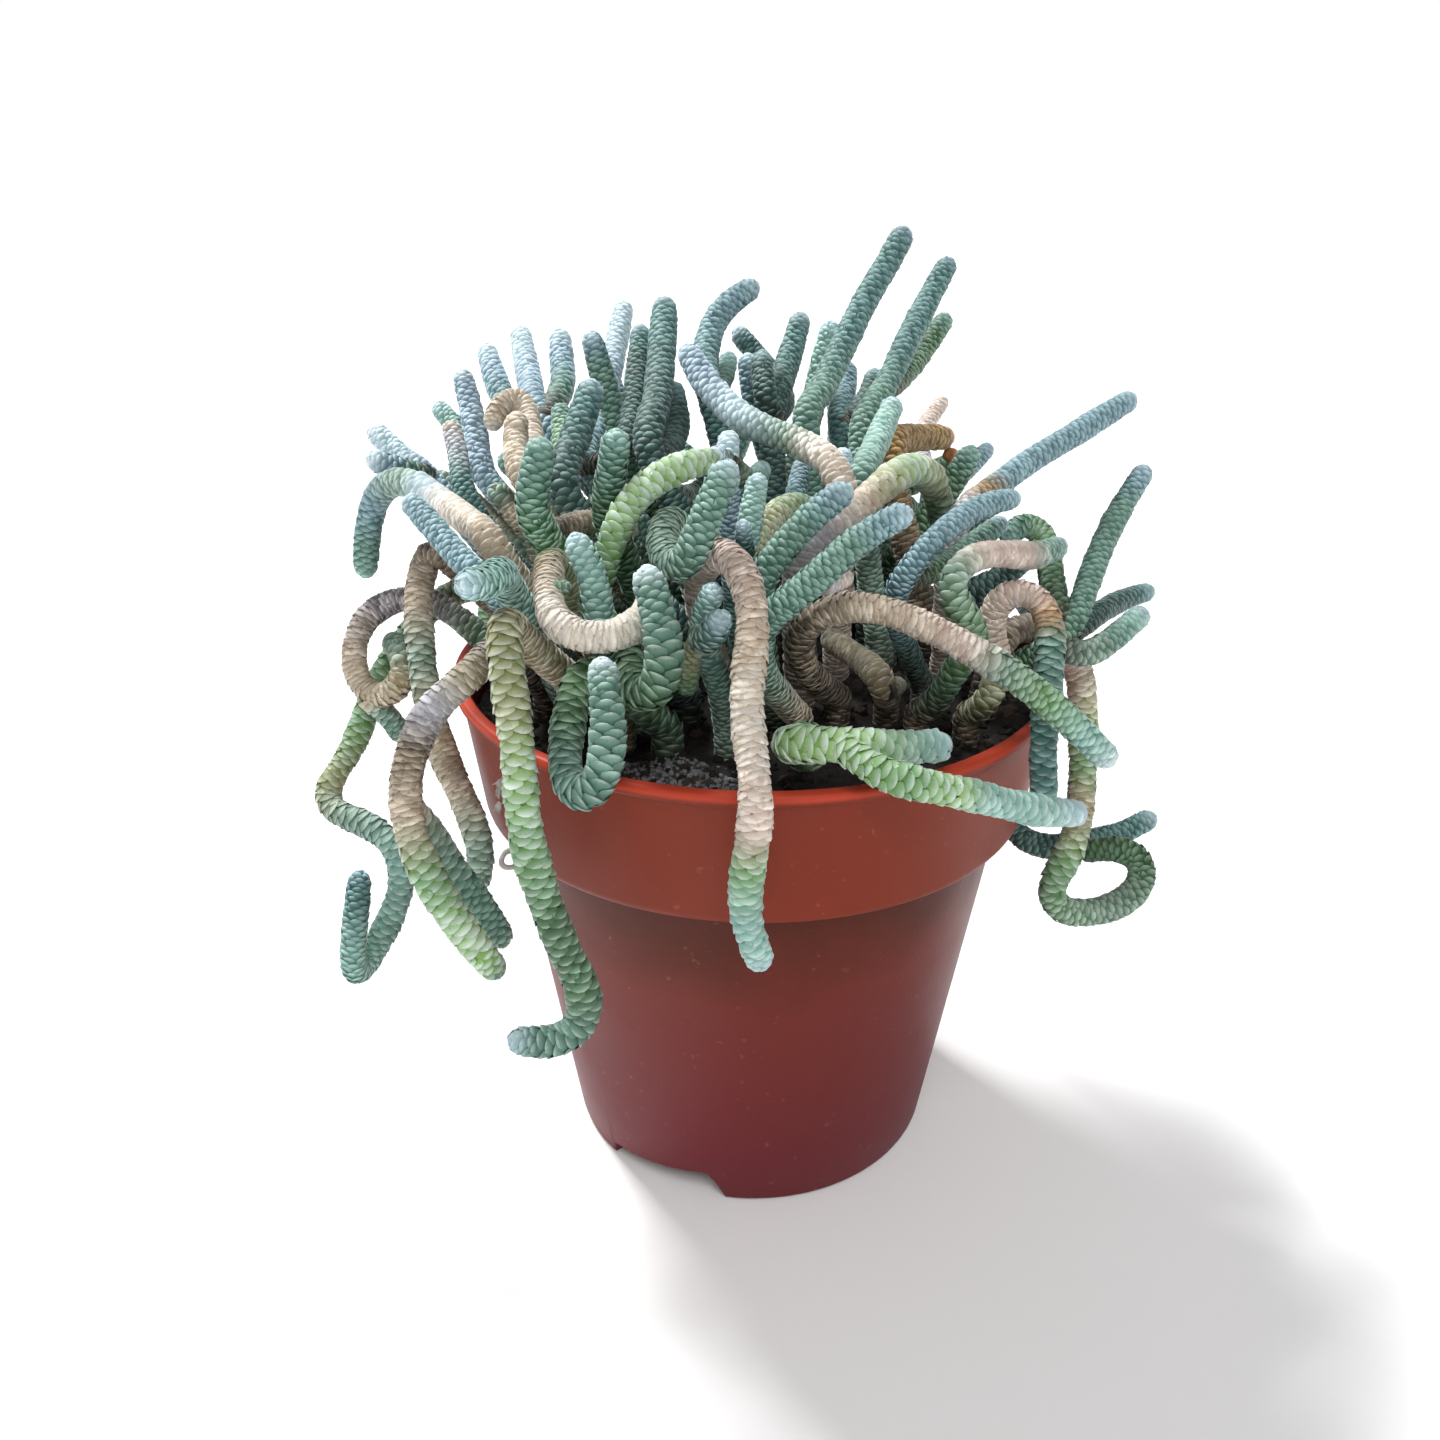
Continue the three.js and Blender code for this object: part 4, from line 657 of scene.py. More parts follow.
# The skin, in millimetres but for its share of the radius, its sides and the degrees between dome rings
SKIN_SIDES = 8
SKIN_RADIUS = 0.97
LINE_STEP = 0.7
TAPER_LENGTH = 9
CAP_LENGTH = 2.6
DOME_STEP = 8

# Colours of the scales, each with the colour of the skin that shows between them, which is darkened
# as painted shade for the crevices between the scales
TONES = {
    # The first pair, at the stems' roots, is darkened further as painted shade for the shade among the stems
    # at the soil
    "bark": ("#5c5042", "#221b14"), "brown": ("#a3927c", "#3a2d21"), "tan": ("#cbc3b0", "#8a7c5c"),
    "orange": ("#d0b08c", "#956c42"), "beige": ("#dccfbe", "#a5937c"), "cream": ("#f1ebe4", "#c9bdab"),
    "pink": ("#e2d4ca", "#b09a8c"), "dusky": ("#b3adb0", "#4a4445"), "lavender": ("#cfd0d6", "#9a98a0"),
    "ochre": ("#a98750", "#6b4f22"), "olive": ("#bbbea6", "#747c48"), "lime": ("#c2d3c6", "#7da35c"),
    "leaf": ("#98b49b", "#507d3f"), "green": ("#67886b", "#2b4a2c"), "sage": ("#97ad9e", "#58705f"),
    "sea": ("#789a8c", "#416558"), "teal": ("#648b89", "#315652"), "deep": ("#4e6d67", "#243d38"),
    "aqua": ("#a3c3b9", "#6c958b"), "steel": ("#8babb4", "#4d6a72"), "blue": ("#a6bccb", "#677e8c"),
    "ice": ("#c0d3da", "#9ab4bc"), "white": ("#e0e9ec", "#b7c9cf"),
}

# Where a stem has these colours, its skin has shrunk and its scales are dry, thin and close together
DRY_TONES = ("bark", "brown", "tan", "orange", "beige", "cream", "pink", "dusky", "lavender", "ochre")

# For each way of growing, the share of a strand that carries old or dry scales, and the colours from its
# root to its tip, each after the share of the way where it is reached
LOOKS = {
    "long drop": (0.97, "0 bark, .12 tan, .34 tan, .44 olive, .5 olive, .58 lime, .66 leaf, .76 green, .86 "
                        "green, .93 sea, 1 ice"),
    "pink drop": (0.97, "0 bark, .14 brown, .28 pink, .48 pink, .58 beige, .68 cream, .8 pink, .85 leaf, "
                        ".92 aqua, 1 ice"),
    "green loop": (0.93, "0 bark, .2 green, .42 leaf, .56 green, .66 sea, .94 sea, 1 white"),
    "brown drop": (0.95, "0 bark, .2 brown, .36 dusky, .46 tan, .52 lavender, .6 brown, .7 beige, .8 leaf, "
                         ".9 lime, 1 sage"),
    "dusky hang": (0.6, "0 beige, .2 sage, .6 sea, 1 sage"),
    "cream bend": (0.95, "0 bark, .3 tan, .5 olive, .6 beige, .68 cream, .9 cream, 1 beige"),
    "young olive": (0, "0 olive, .4 olive, .8 leaf, 1 sage"),
    "sea tip": (0.88, "0 bark, .25 deep, .5 green, .75 green, .88 sea, 1 white"),
    "aqua tip": (0, "0 bark, .3 sage, .6 sea, .85 aqua, 1 ice"),
    "lime arch": (0.97, "0 bark, .3 sea, .48 leaf, .65 leaf, .78 lime, .95 lime, 1 sage"),
    "grey tip": (0, "0 bark, .35 sea, .65 sage, .9 sea, 1 ice"),
    "sage tip": (0, "0 bark, .35 green, .8 green, .92 sea, 1 aqua"),
    "leaf tip": (0, "0 bark, .4 green, .7 leaf, .9 sea, 1 aqua"),
    "old tan": (0.95, "0 bark, .3 brown, .6 tan, .9 tan, 1 sage"),
    "seafoam": (0, "0 bark, .4 sage, .6 aqua, .9 aqua, 1 ice"),
    "tan arch": (0.72, "0 bark, .18 orange, .36 pink, .5 beige, .62 cream, .7 ice, .76 sage, .86 steel, .96 "
                       "sea, 1 aqua"),
    "blue arm": (0.2, "0 bark, .35 deep, .6 steel, .95 steel, 1 ice"),
    "mixed hang": (0.95, "0 bark, .2 tan, .4 brown, .5 beige, .6 sage, .72 tan, .82 beige, .92 sage, 1 sage"),
    "ring": (0.95, "0 bark, .28 green, .4 dusky, .55 dusky, .7 beige, .86 tan, .93 sage, 1 green"),
    "zigzag": (0.8, "0 bark, .15 brown, .3 green, .45 leaf, .54 olive, .6 sage, .7 aqua, .8 sea, .9 aqua, "
                    ".96 teal, 1 steel"),
    "ice tip": (0, "0 bark, .35 sea, .6 steel, .78 blue, .93 ice, 1 white"),
    "deep beige": (0, "0 green, .4 deep, .8 teal, .95 lavender, 1 beige"),
    "lavender tip": (0, "0 bark, .4 sea, .62 steel, .78 blue, .95 blue, 1 white"),
    "cream stump": (0.95, "0 bark, .4 brown, .7 beige, .9 beige, 1 tan"),
    "pink arch": (0.9, "0 tan, .3 pink, .7 beige, 1 cream"),
    "deep tip": (0, "0 bark, .3 deep, .75 deep, .92 teal, 1 ice"),
    "pink to blue": (0.6, "0 bark, .2 pink, .5 pink, .62 cream, .7 sage, .82 ice, .92 blue, 1 ice"),
    "blue tip": (0, "0 bark, .35 deep, .7 teal, .92 steel, 1 ice"),
    "tall": (0, "0 bark, .25 deep, .42 sea, .6 sea, .75 teal, .95 teal, 1 blue"),
    "ochre": (0.6, "0 bark, .4 brown, .65 ochre, .9 ochre, 1 pink"),
    "pink tip": (0.3, "0 brown, .4 lavender, .8 pink, 1 cream"),
    "pale arch": (0.9, "0 bark, .25 pink, .5 lavender, .62 beige, .74 lime, .82 olive, .92 green, 1 sage"),
    "rope": (0, "0 bark, .3 green, .55 sea, .85 sea, .95 steel, 1 ice"),
    "rope lavender": (0, "0 bark, .25 beige, .42 sage, .6 sea, .85 sea, .95 steel, 1 ice"),
    "long arm": (0.3, "0 bark, .25 pink, .48 lavender, .55 ochre, .62 steel, .95 steel, 1 ice"),
    "green s": (0.9, "0 bark, .18 brown, .3 green, .45 leaf, .62 sage, .7 pink, .82 pink, .92 sea, 1 ice"),
    "brown arch": (0.97, "0 bark, .15 brown, .28 olive, .4 pink, .55 pink, .6 orange, .66 sea, .9 teal, 1 "
                         "sea"),
    "long right": (0.76, "0 bark, .2 brown, .42 brown, .55 beige, .7 pink, .77 sage, .86 leaf, .94 aqua, 1 "
                         "white"),
    "lime branch": (0.97, "0 bark, .2 leaf, .5 lime, .75 lime, .92 aqua, 1 ice"),
    "aqua branch": (0.97, "0 lime, .25 leaf, .42 lime, .52 aqua, .8 aqua, .95 ice, 1 ice"),
    "curl": (0.7, "0 bark, .2 brown, .34 pink, .42 olive, .5 leaf, .56 tan, .65 leaf, .8 sage, .9 green, 1 "
                  "green"),
    "thick blue": (0.2, "0 green, .4 sage, .8 teal, .93 steel, 1 ice"),
}


def scale_shape(name, columns, half_width, length, rise, rows):
    """One papery scale on a stem of radius 1, with its free edge up and folded back in to the skin.

    A row is (how far along the scale, its share of the full width, its share of the rise)."""
    shape = bmesh.new()
    lift = shape.verts.layers.float.new("lift")
    grid = []
    for along, width, out in rows:
        row = []
        for i in range(columns + 1):
            u = 2 * i / columns - 1
            crown = 1 - 0.45 * u * u
            angle = u * half_width * width
            height = length * (along - 0.5) - length * 0.25 * u * u * along
            reach = 0.98 + out * rise * crown
            vert = shape.verts.new((reach * math.cos(angle), reach * math.sin(angle), height))
            vert[lift] = max(out, 0) * crown
            row.append(vert)
        grid.append(row)
    for low, high in zip(grid, grid[1:]):
        for i in range(columns):
            shape.faces.new((low[i], low[i + 1], high[i + 1], high[i]))
    mesh = finished(shape, name)
    mesh.polygons.foreach_set("use_smooth", [True] * len(mesh.polygons))
    return bpy.data.objects.new(name, mesh)


def new_tree(name, sockets):
    """An empty Geometry Nodes tree with those named inputs, and a "Made" output for its geometry."""
    tree = bpy.data.node_groups.new(name, "GeometryNodeTree")
    for socket, kind in sockets.items():
        tree.interface.new_socket(socket, in_out="INPUT", socket_type="NodeSocket" + kind)
    tree.interface.new_socket("Made", in_out="OUTPUT", socket_type="NodeSocketGeometry")
    return tree, add_node(tree, "NodeGroupInput").outputs


def close_tree(tree, joined, finish):
    """Ends a tree: every scale or grain becomes plain geometry with its material."""
    whole = add_node(tree, "GeometryNodeRealizeInstances", {"Geometry": joined})
    done = add_node(tree, "GeometryNodeSetMaterial", {"Geometry": whole, "Material": finish})
    add_node(tree, "NodeGroupOutput", {"Made": done})


def grow(tree, mesh, values):
    """The plain mesh that a Geometry Nodes tree makes of a mesh, with its named inputs set."""
    guide = bpy.data.objects.new("guide", mesh)
    bpy.context.collection.objects.link(guide)
    modifier = guide.modifiers.new("growth", "NODES")
    modifier.node_group = tree
    sockets = {item.name: item.identifier for item in tree.interface.items_tree if item.in_out == "INPUT"}
    for name, value in values.items():
        modifier[sockets[name]] = value
    return made_plain(guide)


def scaly_tree():
    """Geometry Nodes: turns a way into its skin, with young, old and dry scales wound round it."""
    sockets = {"Way": "Geometry", "Unevenness": "Float", "Seed": "Int", "Finish": "Material",
               "Turn": "Float"}
    for age in AGES:
        sockets.update({age + " scale": "Object", age + " spacing": "Float"})
    tree, given = new_tree("Scales wound round a stem", sockets)
    way = add_node(tree, "GeometryNodeMeshToCurve", {"Mesh": given["Way"]})
    age_here, thick, size, lean, back = [
        add_node(tree, "GeometryNodeInputNamedAttribute", {"Name": name}, data_type="FLOAT").outputs[0]
        for name in ("age", "thick", "size", "lean", "back")]
    ring = add_node(tree, "GeometryNodeCurvePrimitiveCircle", {"Resolution": SKIN_SIDES,
                                                               "Radius": SKIN_RADIUS})
    skin = add_node(tree, "GeometryNodeCurveToMesh", {"Curve": way, "Profile Curve": ring, "Scale": thick,
                                                     "Fill Caps": True})
    joined = add_node(tree, "GeometryNodeJoinGeometry", {"Geometry": skin})
    index = add_node(tree, "GeometryNodeInputIndex")
    low = add_node(tree, "ShaderNodeMath", {0: 1.0, 1: given["Unevenness"]}, operation="SUBTRACT")
    high = add_node(tree, "ShaderNodeMath", {0: 1.0, 1: given["Unevenness"]}, operation="ADD")
    vary = add_node(tree, "FunctionNodeRandomValue", {2: low, 3: high, "Seed": given["Seed"]},
                    data_type="FLOAT")
    grown = add_node(tree, "ShaderNodeMath", {0: vary, 1: size}, operation="MULTIPLY")
    chance = add_node(tree, "FunctionNodeRandomValue", {"Seed": given["Seed"]}, data_type="FLOAT")
    other = add_node(tree, "ShaderNodeMath", {0: given["Seed"], 1: SEED_GAP}, operation="ADD")
    askew = add_node(tree, "FunctionNodeRandomValue", {2: -0.16, 3: 0.16, "Seed": other}, data_type="FLOAT")
    third = add_node(tree, "ShaderNodeMath", {0: given["Seed"], 1: 2 * SEED_GAP}, operation="ADD")
    raised = add_node(tree, "FunctionNodeRandomValue", {2: -0.05, 3: 0.05, "Seed": third}, data_type="FLOAT")
    inward = add_node(tree, "ShaderNodeMath", {0: raised, 1: lean}, operation="SUBTRACT")
    for number, age in enumerate(AGES):
        spots = add_node(tree, "GeometryNodeCurveToPoints", {"Curve": way, "Length": given[age + " spacing"]},
                         mode="LENGTH")
        behind = add_node(tree, "ShaderNodeMath", {0: back, 1: -1.0}, operation="MULTIPLY")
        offset = add_node(tree, "ShaderNodeVectorMath", {0: spots.outputs["Tangent"], "Scale": behind},
                          operation="SCALE")
        centred = add_node(tree, "GeometryNodeSetPosition", {"Geometry": spots, "Offset": offset})
        angle = add_node(tree, "ShaderNodeMath", {0: index, 1: given["Turn"], 2: askew},
                         operation="MULTIPLY_ADD")
        facing = spots.outputs["Rotation"]
        for axis, amount in (((0, 0, 1), angle), ((0, 1, 0), inward)):
            turned = add_node(tree, "FunctionNodeAxisAngleToRotation", {"Axis": axis, "Angle": amount})
            facing = add_node(tree, "FunctionNodeRotateRotation", {"Rotation": facing, "Rotate By": turned},
                              rotation_space="LOCAL")
        chosen = add_node(tree, "FunctionNodeCompare", {0: age_here, 1: float(number), "Epsilon": 0.5},
                          data_type="FLOAT", operation="EQUAL")
        scale = add_node(tree, "GeometryNodeObjectInfo", {"Object": given[age + " scale"]})
        placed = add_node(tree, "GeometryNodeInstanceOnPoints", {
            "Points": centred, "Selection": chosen, "Instance": scale.outputs["Geometry"],
            "Rotation": facing, "Scale": grown})
        marked = add_node(tree, "GeometryNodeStoreNamedAttribute", {
            "Geometry": placed, "Name": "chance", "Value": chance}, data_type="FLOAT", domain="INSTANCE")
        set_inputs(joined, {"Geometry": marked})
    close_tree(tree, joined, given["Finish"])
    return tree


def tone_keys(look):
    """The shares along a strand, the linear scale and skin colours there, and the tones' names."""
    keys = [key.split() for key in look.split(", ")]
    shares = [float(share) for share, _ in keys]
    pairs = [(linear(TONES[tone][0]), linear(TONES[tone][1])) for _, tone in keys]
    return shares, np.array(pairs), [tone for _, tone in keys[:-1]]


def stem_way(number):
    """The mesh of edges that a stem's tree follows, with its thickness and colours at each point."""
    values = {name: [] for name in ("thick", "size", "lean", "back", "age")}
    places, tints, gaps, edges = [], [], [], []
    for strand in (s for s in strands if s["stem"] == number):
        radius = strand["radius"]
        line = smooth_line(strand["points"], LINE_STEP)

        # The tip is a dome: points close together towards its top, each with how far it leans over
        ahead = (line[-1] - line[-2]) / np.linalg.norm(line[-1] - line[-2])
        centre = line[-1] - ahead * radius * 0.5
        line = np.concatenate((line[:-8], line[-8:][(line[-8:] - centre) @ ahead < -0.3], [centre]))
        angles = np.radians(np.arange(DOME_STEP, 90, DOME_STEP))
        count = len(line)
        line = np.concatenate((line, centre + np.outer(np.sin(angles), ahead) * radius))
        lean = np.concatenate((np.zeros(count), angles))

        along = np.concatenate(([0], np.cumsum(np.linalg.norm(np.diff(line, axis=0), axis=1))))
        share = along / along[-1]
        old_share, look = LOOKS[strand["look"]]
        shares, pairs, tones = tone_keys(look)
        nearest = np.abs(share[:, None] - np.array(shares[:-1])).argmin(axis=1)
        dry = np.array([tone in DRY_TONES for tone in tones])[nearest]
        age = np.where(share > old_share, 0, np.where(dry, 2, 1))

        # Growth is uneven: slow swellings that differ from stem to stem, and a taper towards the tip
        lumps = np.sin(along * 0.9 + number) + np.sin(along * 0.41 + 2.3 * number)
        from_tip = np.clip(1 - (along[-1] - along) / TAPER_LENGTH, 0, 1)
        girth = radius * (1 + (0.015 + 0.02 * (age > 0)) * lumps) * (1 - 0.17 * from_tip ** 2)
        cap = np.clip((along - along[-1] + CAP_LENGTH) / CAP_LENGTH, 0, 1) ** 1.5
        first = len(places)
        edges += [(first + i, first + i + 1) for i in range(len(line) - 1)]
        places += list(line / 1000)
        for name, here in (("thick", np.cos(lean) * girth / 1000), ("size", girth / 1000), ("lean", lean),
                           ("back", np.sin(lean) * girth / 1000), ("age", age.astype(float))):
            values[name] += list(here)
        for colours, which in ((tints, 0), (gaps, 1)):
            body = np.stack([np.interp(share, shares[:-1], pairs[:-1, which, c]) for c in range(4)], axis=1)
            colours += list(body + cap[:, None] * (pairs[-1, which] - body))
    mesh = bpy.data.meshes.new("way")
    mesh.from_pydata(places, edges, [])
    for name, here in values.items():
        mesh.attributes.new(name, "FLOAT", "POINT").data.foreach_set("value", here)
    for name, colours in (("tint", tints), ("skin_and_shade", gaps)):
        mesh.attributes.new(name, "FLOAT_COLOR", "POINT").data.foreach_set("color", np.ravel(colours))
    return mesh


# Papery scales over fleshy skin: matt and waxy, with the skin's colour, darkened as painted shade, in the
# gaps and through the thinnest scales, a paler dry edge on each scale, dark flecks, and a bluish bloom that
# scatters light.
# Blotches are about 1.5 mm wide, crinkles 0.7 mm and flecks 0.4 mm. Age runs from 0, young, to 2, dry.
papery, tree, shader = new_material("Papery scales over fleshy skin")
tint = add_node(tree, "ShaderNodeAttribute", attribute_name="tint").outputs["Color"]
skin_and_shade = add_node(tree, "ShaderNodeAttribute", attribute_name="skin_and_shade").outputs["Color"]
lift, chance, age = [add_node(tree, "ShaderNodeAttribute", attribute_name=name).outputs["Fac"]
                     for name in ("lift", "chance", "age")]
place = add_node(tree, "ShaderNodeTexCoord").outputs["Object"]

# Each scale is a little lighter or darker than the next, and mottled
mottle = add_node(tree, "ShaderNodeTexNoise", {"Vector": place, "Scale": 260.0, "Detail": 3.0})
darkest = add_node(tree, "ShaderNodeMapRange", {"Value": age, "From Max": 2.0, "To Min": 0.88,
                                                "To Max": 0.68})
bright = add_node(tree, "ShaderNodeMapRange", {"Value": chance, "To Min": darkest, "To Max": 1.2})
patchy = add_node(tree, "ShaderNodeMapRange", {"Value": age, "From Max": 2.0, "To Min": 0.88, "To Max": 0.74})
mottled = add_node(tree, "ShaderNodeMapRange", {"Value": mottle, "From Min": 0.35, "From Max": 0.65,
                                                "To Min": patchy, "To Max": 1.12})
level = add_node(tree, "ShaderNodeMath", {0: bright, 1: mottled}, operation="MULTIPLY")
colour = add_node(tree, "ShaderNodeVectorMath", {0: tint, "Scale": level}, operation="SCALE")

# The skin's colour, darkened as painted shade, shows where a scale has worn off, through the thinnest
# scales, and in the gaps between them, where it is painted shade in the crevices under each scale's edge
spots = add_node(tree, "ShaderNodeTexNoise",
                 {"Vector": place, "Scale": 700.0, "Detail": 4.0, "Roughness": 0.6})
dryness = add_node(tree, "ShaderNodeMapRange", {"Value": age, "From Max": 2.0, "To Max": 0.85})
worn_off = add_node(tree, "ShaderNodeMapRange", {"Value": spots, "From Min": 0.5, "From Max": 0.58,
                                                 "To Max": dryness})
deal = add_node(tree, "ShaderNodeMath", {0: chance, 1: 17.0}, operation="MULTIPLY")
dealt = add_node(tree, "ShaderNodeMath", {0: deal}, operation="FRACT")
thinness = add_node(tree, "ShaderNodeMapRange", {"Value": age, "To Min": 0.2, "To Max": 0.65})
thin = add_node(tree, "ShaderNodeMapRange", {"Value": dealt, "From Min": 0.35, "To Max": thinness})
shown = add_node(tree, "ShaderNodeMath", {0: worn_off, 1: thin}, operation="MAXIMUM")
blotched = add_node(tree, "ShaderNodeMixRGB", {"Fac": shown, "Color1": colour, "Color2": skin_and_shade})
bared = add_node(tree, "ShaderNodeMapRange", {"Value": age, "From Max": 2.0, "To Min": 0.36, "To Max": 0.0})
# Where a scale lies low, at its base and its folded rim, the skin's colour fills in as painted shade
cover = add_node(tree, "ShaderNodeMapRange", {"Value": lift, "From Min": bared, "From Max": 0.78})
layered = add_node(tree, "ShaderNodeMixRGB", {"Fac": cover, "Color1": skin_and_shade, "Color2": blotched})

# The dry edge, the flecks and the crinkles
paleness = add_node(tree, "ShaderNodeMapRange", {"Value": age, "To Min": 0.22, "To Max": 0.34})
edge = add_node(tree, "ShaderNodeMapRange", {"Value": lift, "From Min": 0.72, "To Max": paleness})
edged = add_node(tree, "ShaderNodeMixRGB", {"Fac": edge, "Color1": layered, "Color2": "#e6ebe4"})
fine = add_node(tree, "ShaderNodeTexNoise", {"Vector": place, "Scale": 2600.0, "Detail": 3.0})
fleck = add_node(tree, "ShaderNodeMapRange", {"Value": fine, "From Min": 0.66, "From Max": 0.74,
                                              "To Max": 0.55})
flecked = add_node(tree, "ShaderNodeMixRGB", {"Fac": fleck, "Color1": edged, "Color2": "#4b463c"})
crinkles = add_node(tree, "ShaderNodeTexNoise",
                    {"Vector": place, "Scale": 1500.0, "Detail": 4.0, "Roughness": 0.65})
bumps = add_node(tree, "ShaderNodeBump", {"Height": crinkles, "Strength": 0.45, "Distance": 0.0003})
set_inputs(shader, {"Base Color": flecked, "Normal": bumps, "Roughness": 0.62, "Specular IOR Level": 0.35,
                    "Sheen Weight": 0.12, "Sheen Tint": "#dfeaf2"})

winding = scaly_tree()
scales = {
    "Young": scale_shape("young scale", 3, 0.56, 0.6, 0.09,
                         [(0, 0.9, -0.3), (0.55, 1, 0.6), (1.0, 0.8, 1), (0.9, 0.75, -0.6)]),
    "Old": scale_shape("old scale", 4, 0.74, 0.7, 0.12,
                       [(0, 0.7, -0.2), (0.45, 1, 0.5), (0.85, 0.95, 0.9), (1.0, 0.8, 1), (0.92, 0.7, -0.6)]),
    "Dry": scale_shape("dry scale", 3, 0.78, 0.5, 0.09,
                       [(0, 0.9, -0.2), (0.6, 1, 0.6), (1.0, 0.8, 1), (0.9, 0.75, -0.6)]),
}
for number in range(len(stems)):
    radius = np.mean([s["radius"] for s in strands if s["stem"] == number]) / 1000
    hand = 1 if number % 2 else -1
    values = {"Seed": number, "Turn": hand * math.radians(TURN), "Unevenness": UNEVENNESS, "Finish": papery}
    for age in AGES:
        values.update({age + " scale": scales[age], age + " spacing": SPACING[age] * radius})
    stem = new_piece(f"scaly_stem_{number + 1:02d}", grow(winding, stem_way(number), values), papery)
    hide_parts(f"stem_{number + 1:02d}")
    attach(stem, "root")
for scale in scales.values():
    bpy.data.objects.remove(scale)

# The soil
# Near-black peaty soil, level a little under the lip. Its open surface is loose crumbs, with a patch of
# grey sand near the front. Both are oval sheets of small quads with grains strewn over them.
SURFACE_RADIUS = 30.2
SURFACE_RINGS = 32
SURFACE_SPOKES = 65
SAND_MIDDLE = (-8, -20.5)
SAND_REACH = (8.5, 4.2)


def soil_surface(name, middle, reach, lift):
    """An oval sheet of small quads that lies on the soil's uneven top, inside the pot."""
    sheet = bmesh.new()
    rows = []
    for i in range(SURFACE_RINGS + 1):
        row = []
        for k in range(SURFACE_SPOKES):
            angle = 2 * math.pi * k / SURFACE_SPOKES
            x = middle[0] + reach[0] * i / SURFACE_RINGS * math.cos(angle)
            y = middle[1] + reach[1] * i / SURFACE_RINGS * math.sin(angle)
            inwards = min(1, SURFACE_RADIUS / max(math.hypot(x, y), 1))
            x, y = x * inwards, y * inwards
            waves = math.sin(x * 0.83 + 1.3) * math.cos(y * 0.71) + math.sin(x * 0.31 - y * 0.53 + 2)
            heap = lift * (1 - (i / SURFACE_RINGS) ** 2) + 0.12 * math.sin(x * 3.1 + 2) * math.sin(y * 2.7)
            z = SOIL_LEVEL + SOIL_ROUGHNESS * 0.5 * waves + heap
            row.append(sheet.verts.new((x / 1000, y / 1000, z / 1000)))
        rows.append(row)
    for low, high in zip(rows, rows[1:]):
        for k in range(SURFACE_SPOKES):
            after = (k + 1) % SURFACE_SPOKES
            sheet.faces.new((low[k], high[k], high[after], low[after]))
    bmesh.ops.remove_doubles(sheet, verts=sheet.verts, dist=1e-7)
    return finished(sheet, name)


def loose_tree():
    """Geometry Nodes: strews one grain over a surface, each turned and sized at random."""
    tree, given = new_tree("Loose grains", {
        "Surface": "Geometry", "Grain": "Object", "Density": "Float", "Smallest": "Float", "Largest": "Float",
        "Tilt": "Float", "Seed": "Int", "Finish": "Material"})
    spots = add_node(tree, "GeometryNodeDistributePointsOnFaces", {
        "Mesh": given["Surface"], "Density": given["Density"], "Seed": given["Seed"]})
    lowest = add_node(tree, "ShaderNodeMath", {0: given["Tilt"], 1: -1.0}, operation="MULTIPLY")
    least = add_node(tree, "ShaderNodeCombineXYZ", {"X": lowest, "Y": lowest})
    most = add_node(tree, "ShaderNodeCombineXYZ", {"X": given["Tilt"], "Y": given["Tilt"], "Z": 6.28})
    turned = add_node(tree, "FunctionNodeRandomValue", {0: least, 1: most, "Seed": given["Seed"]},
                      data_type="FLOAT_VECTOR")
    sized = add_node(tree, "FunctionNodeRandomValue", {
        2: given["Smallest"], 3: given["Largest"], "Seed": given["Seed"]}, data_type="FLOAT")
    grain = add_node(tree, "GeometryNodeObjectInfo", {"Object": given["Grain"]})
    placed = add_node(tree, "GeometryNodeInstanceOnPoints", {
        "Points": spots, "Instance": grain.outputs["Geometry"], "Rotation": turned, "Scale": sized})
    chance = add_node(tree, "FunctionNodeRandomValue", {"Seed": given["Seed"]}, data_type="FLOAT")
    marked = add_node(tree, "GeometryNodeStoreNamedAttribute", {
        "Geometry": placed, "Name": "chance", "Value": chance}, data_type="FLOAT", domain="INSTANCE")
    joined = add_node(tree, "GeometryNodeJoinGeometry", {"Geometry": given["Surface"]})
    set_inputs(joined, {"Geometry": marked})
    close_tree(tree, joined, given["Finish"])
    return tree


# Damp peat: almost black, fibrous and dull, with a few lighter crumbs.
peat, tree, shader = new_material("Damp peat")
place = add_node(tree, "ShaderNodeTexCoord").outputs["Object"]
chance = add_node(tree, "ShaderNodeAttribute", attribute_name="chance").outputs["Fac"]
crumbs = add_node(tree, "ShaderNodeTexNoise",
                  {"Vector": place, "Scale": 900.0, "Detail": 6.0, "Roughness": 0.7})
shade = add_node(tree, "ShaderNodeMapRange", {"Value": crumbs, "From Min": 0.35, "From Max": 0.7})
colour = add_node(tree, "ShaderNodeMixRGB", {"Fac": shade, "Color1": "#0b0a09", "Color2": "#2c241f"})
lighter = add_node(tree, "ShaderNodeMapRange", {"Value": chance, "From Min": 0.8, "To Max": 0.5})
mixed = add_node(tree, "ShaderNodeMixRGB", {"Fac": lighter, "Color1": colour, "Color2": "#5b4c40"})
bumps = add_node(tree, "ShaderNodeBump", {"Height": crumbs, "Strength": 0.8, "Distance": 0.0006})
set_inputs(shader, {"Base Color": mixed, "Normal": bumps, "Roughness": 0.92})
soil = frame["nodes"]["soil"]
soil.data.materials.clear()
soil.data.materials.append(peat)

# Washed quartz sand: dull grains from dark to mid grey.
quartz, tree, shader = new_material("Grey quartz sand")
chance = add_node(tree, "ShaderNodeAttribute", attribute_name="chance").outputs["Fac"]
colour = add_node(tree, "ShaderNodeMixRGB", {"Fac": chance, "Color1": "#35322f", "Color2": "#86868a"})
set_inputs(shader, {"Base Color": colour, "Roughness": 0.6})

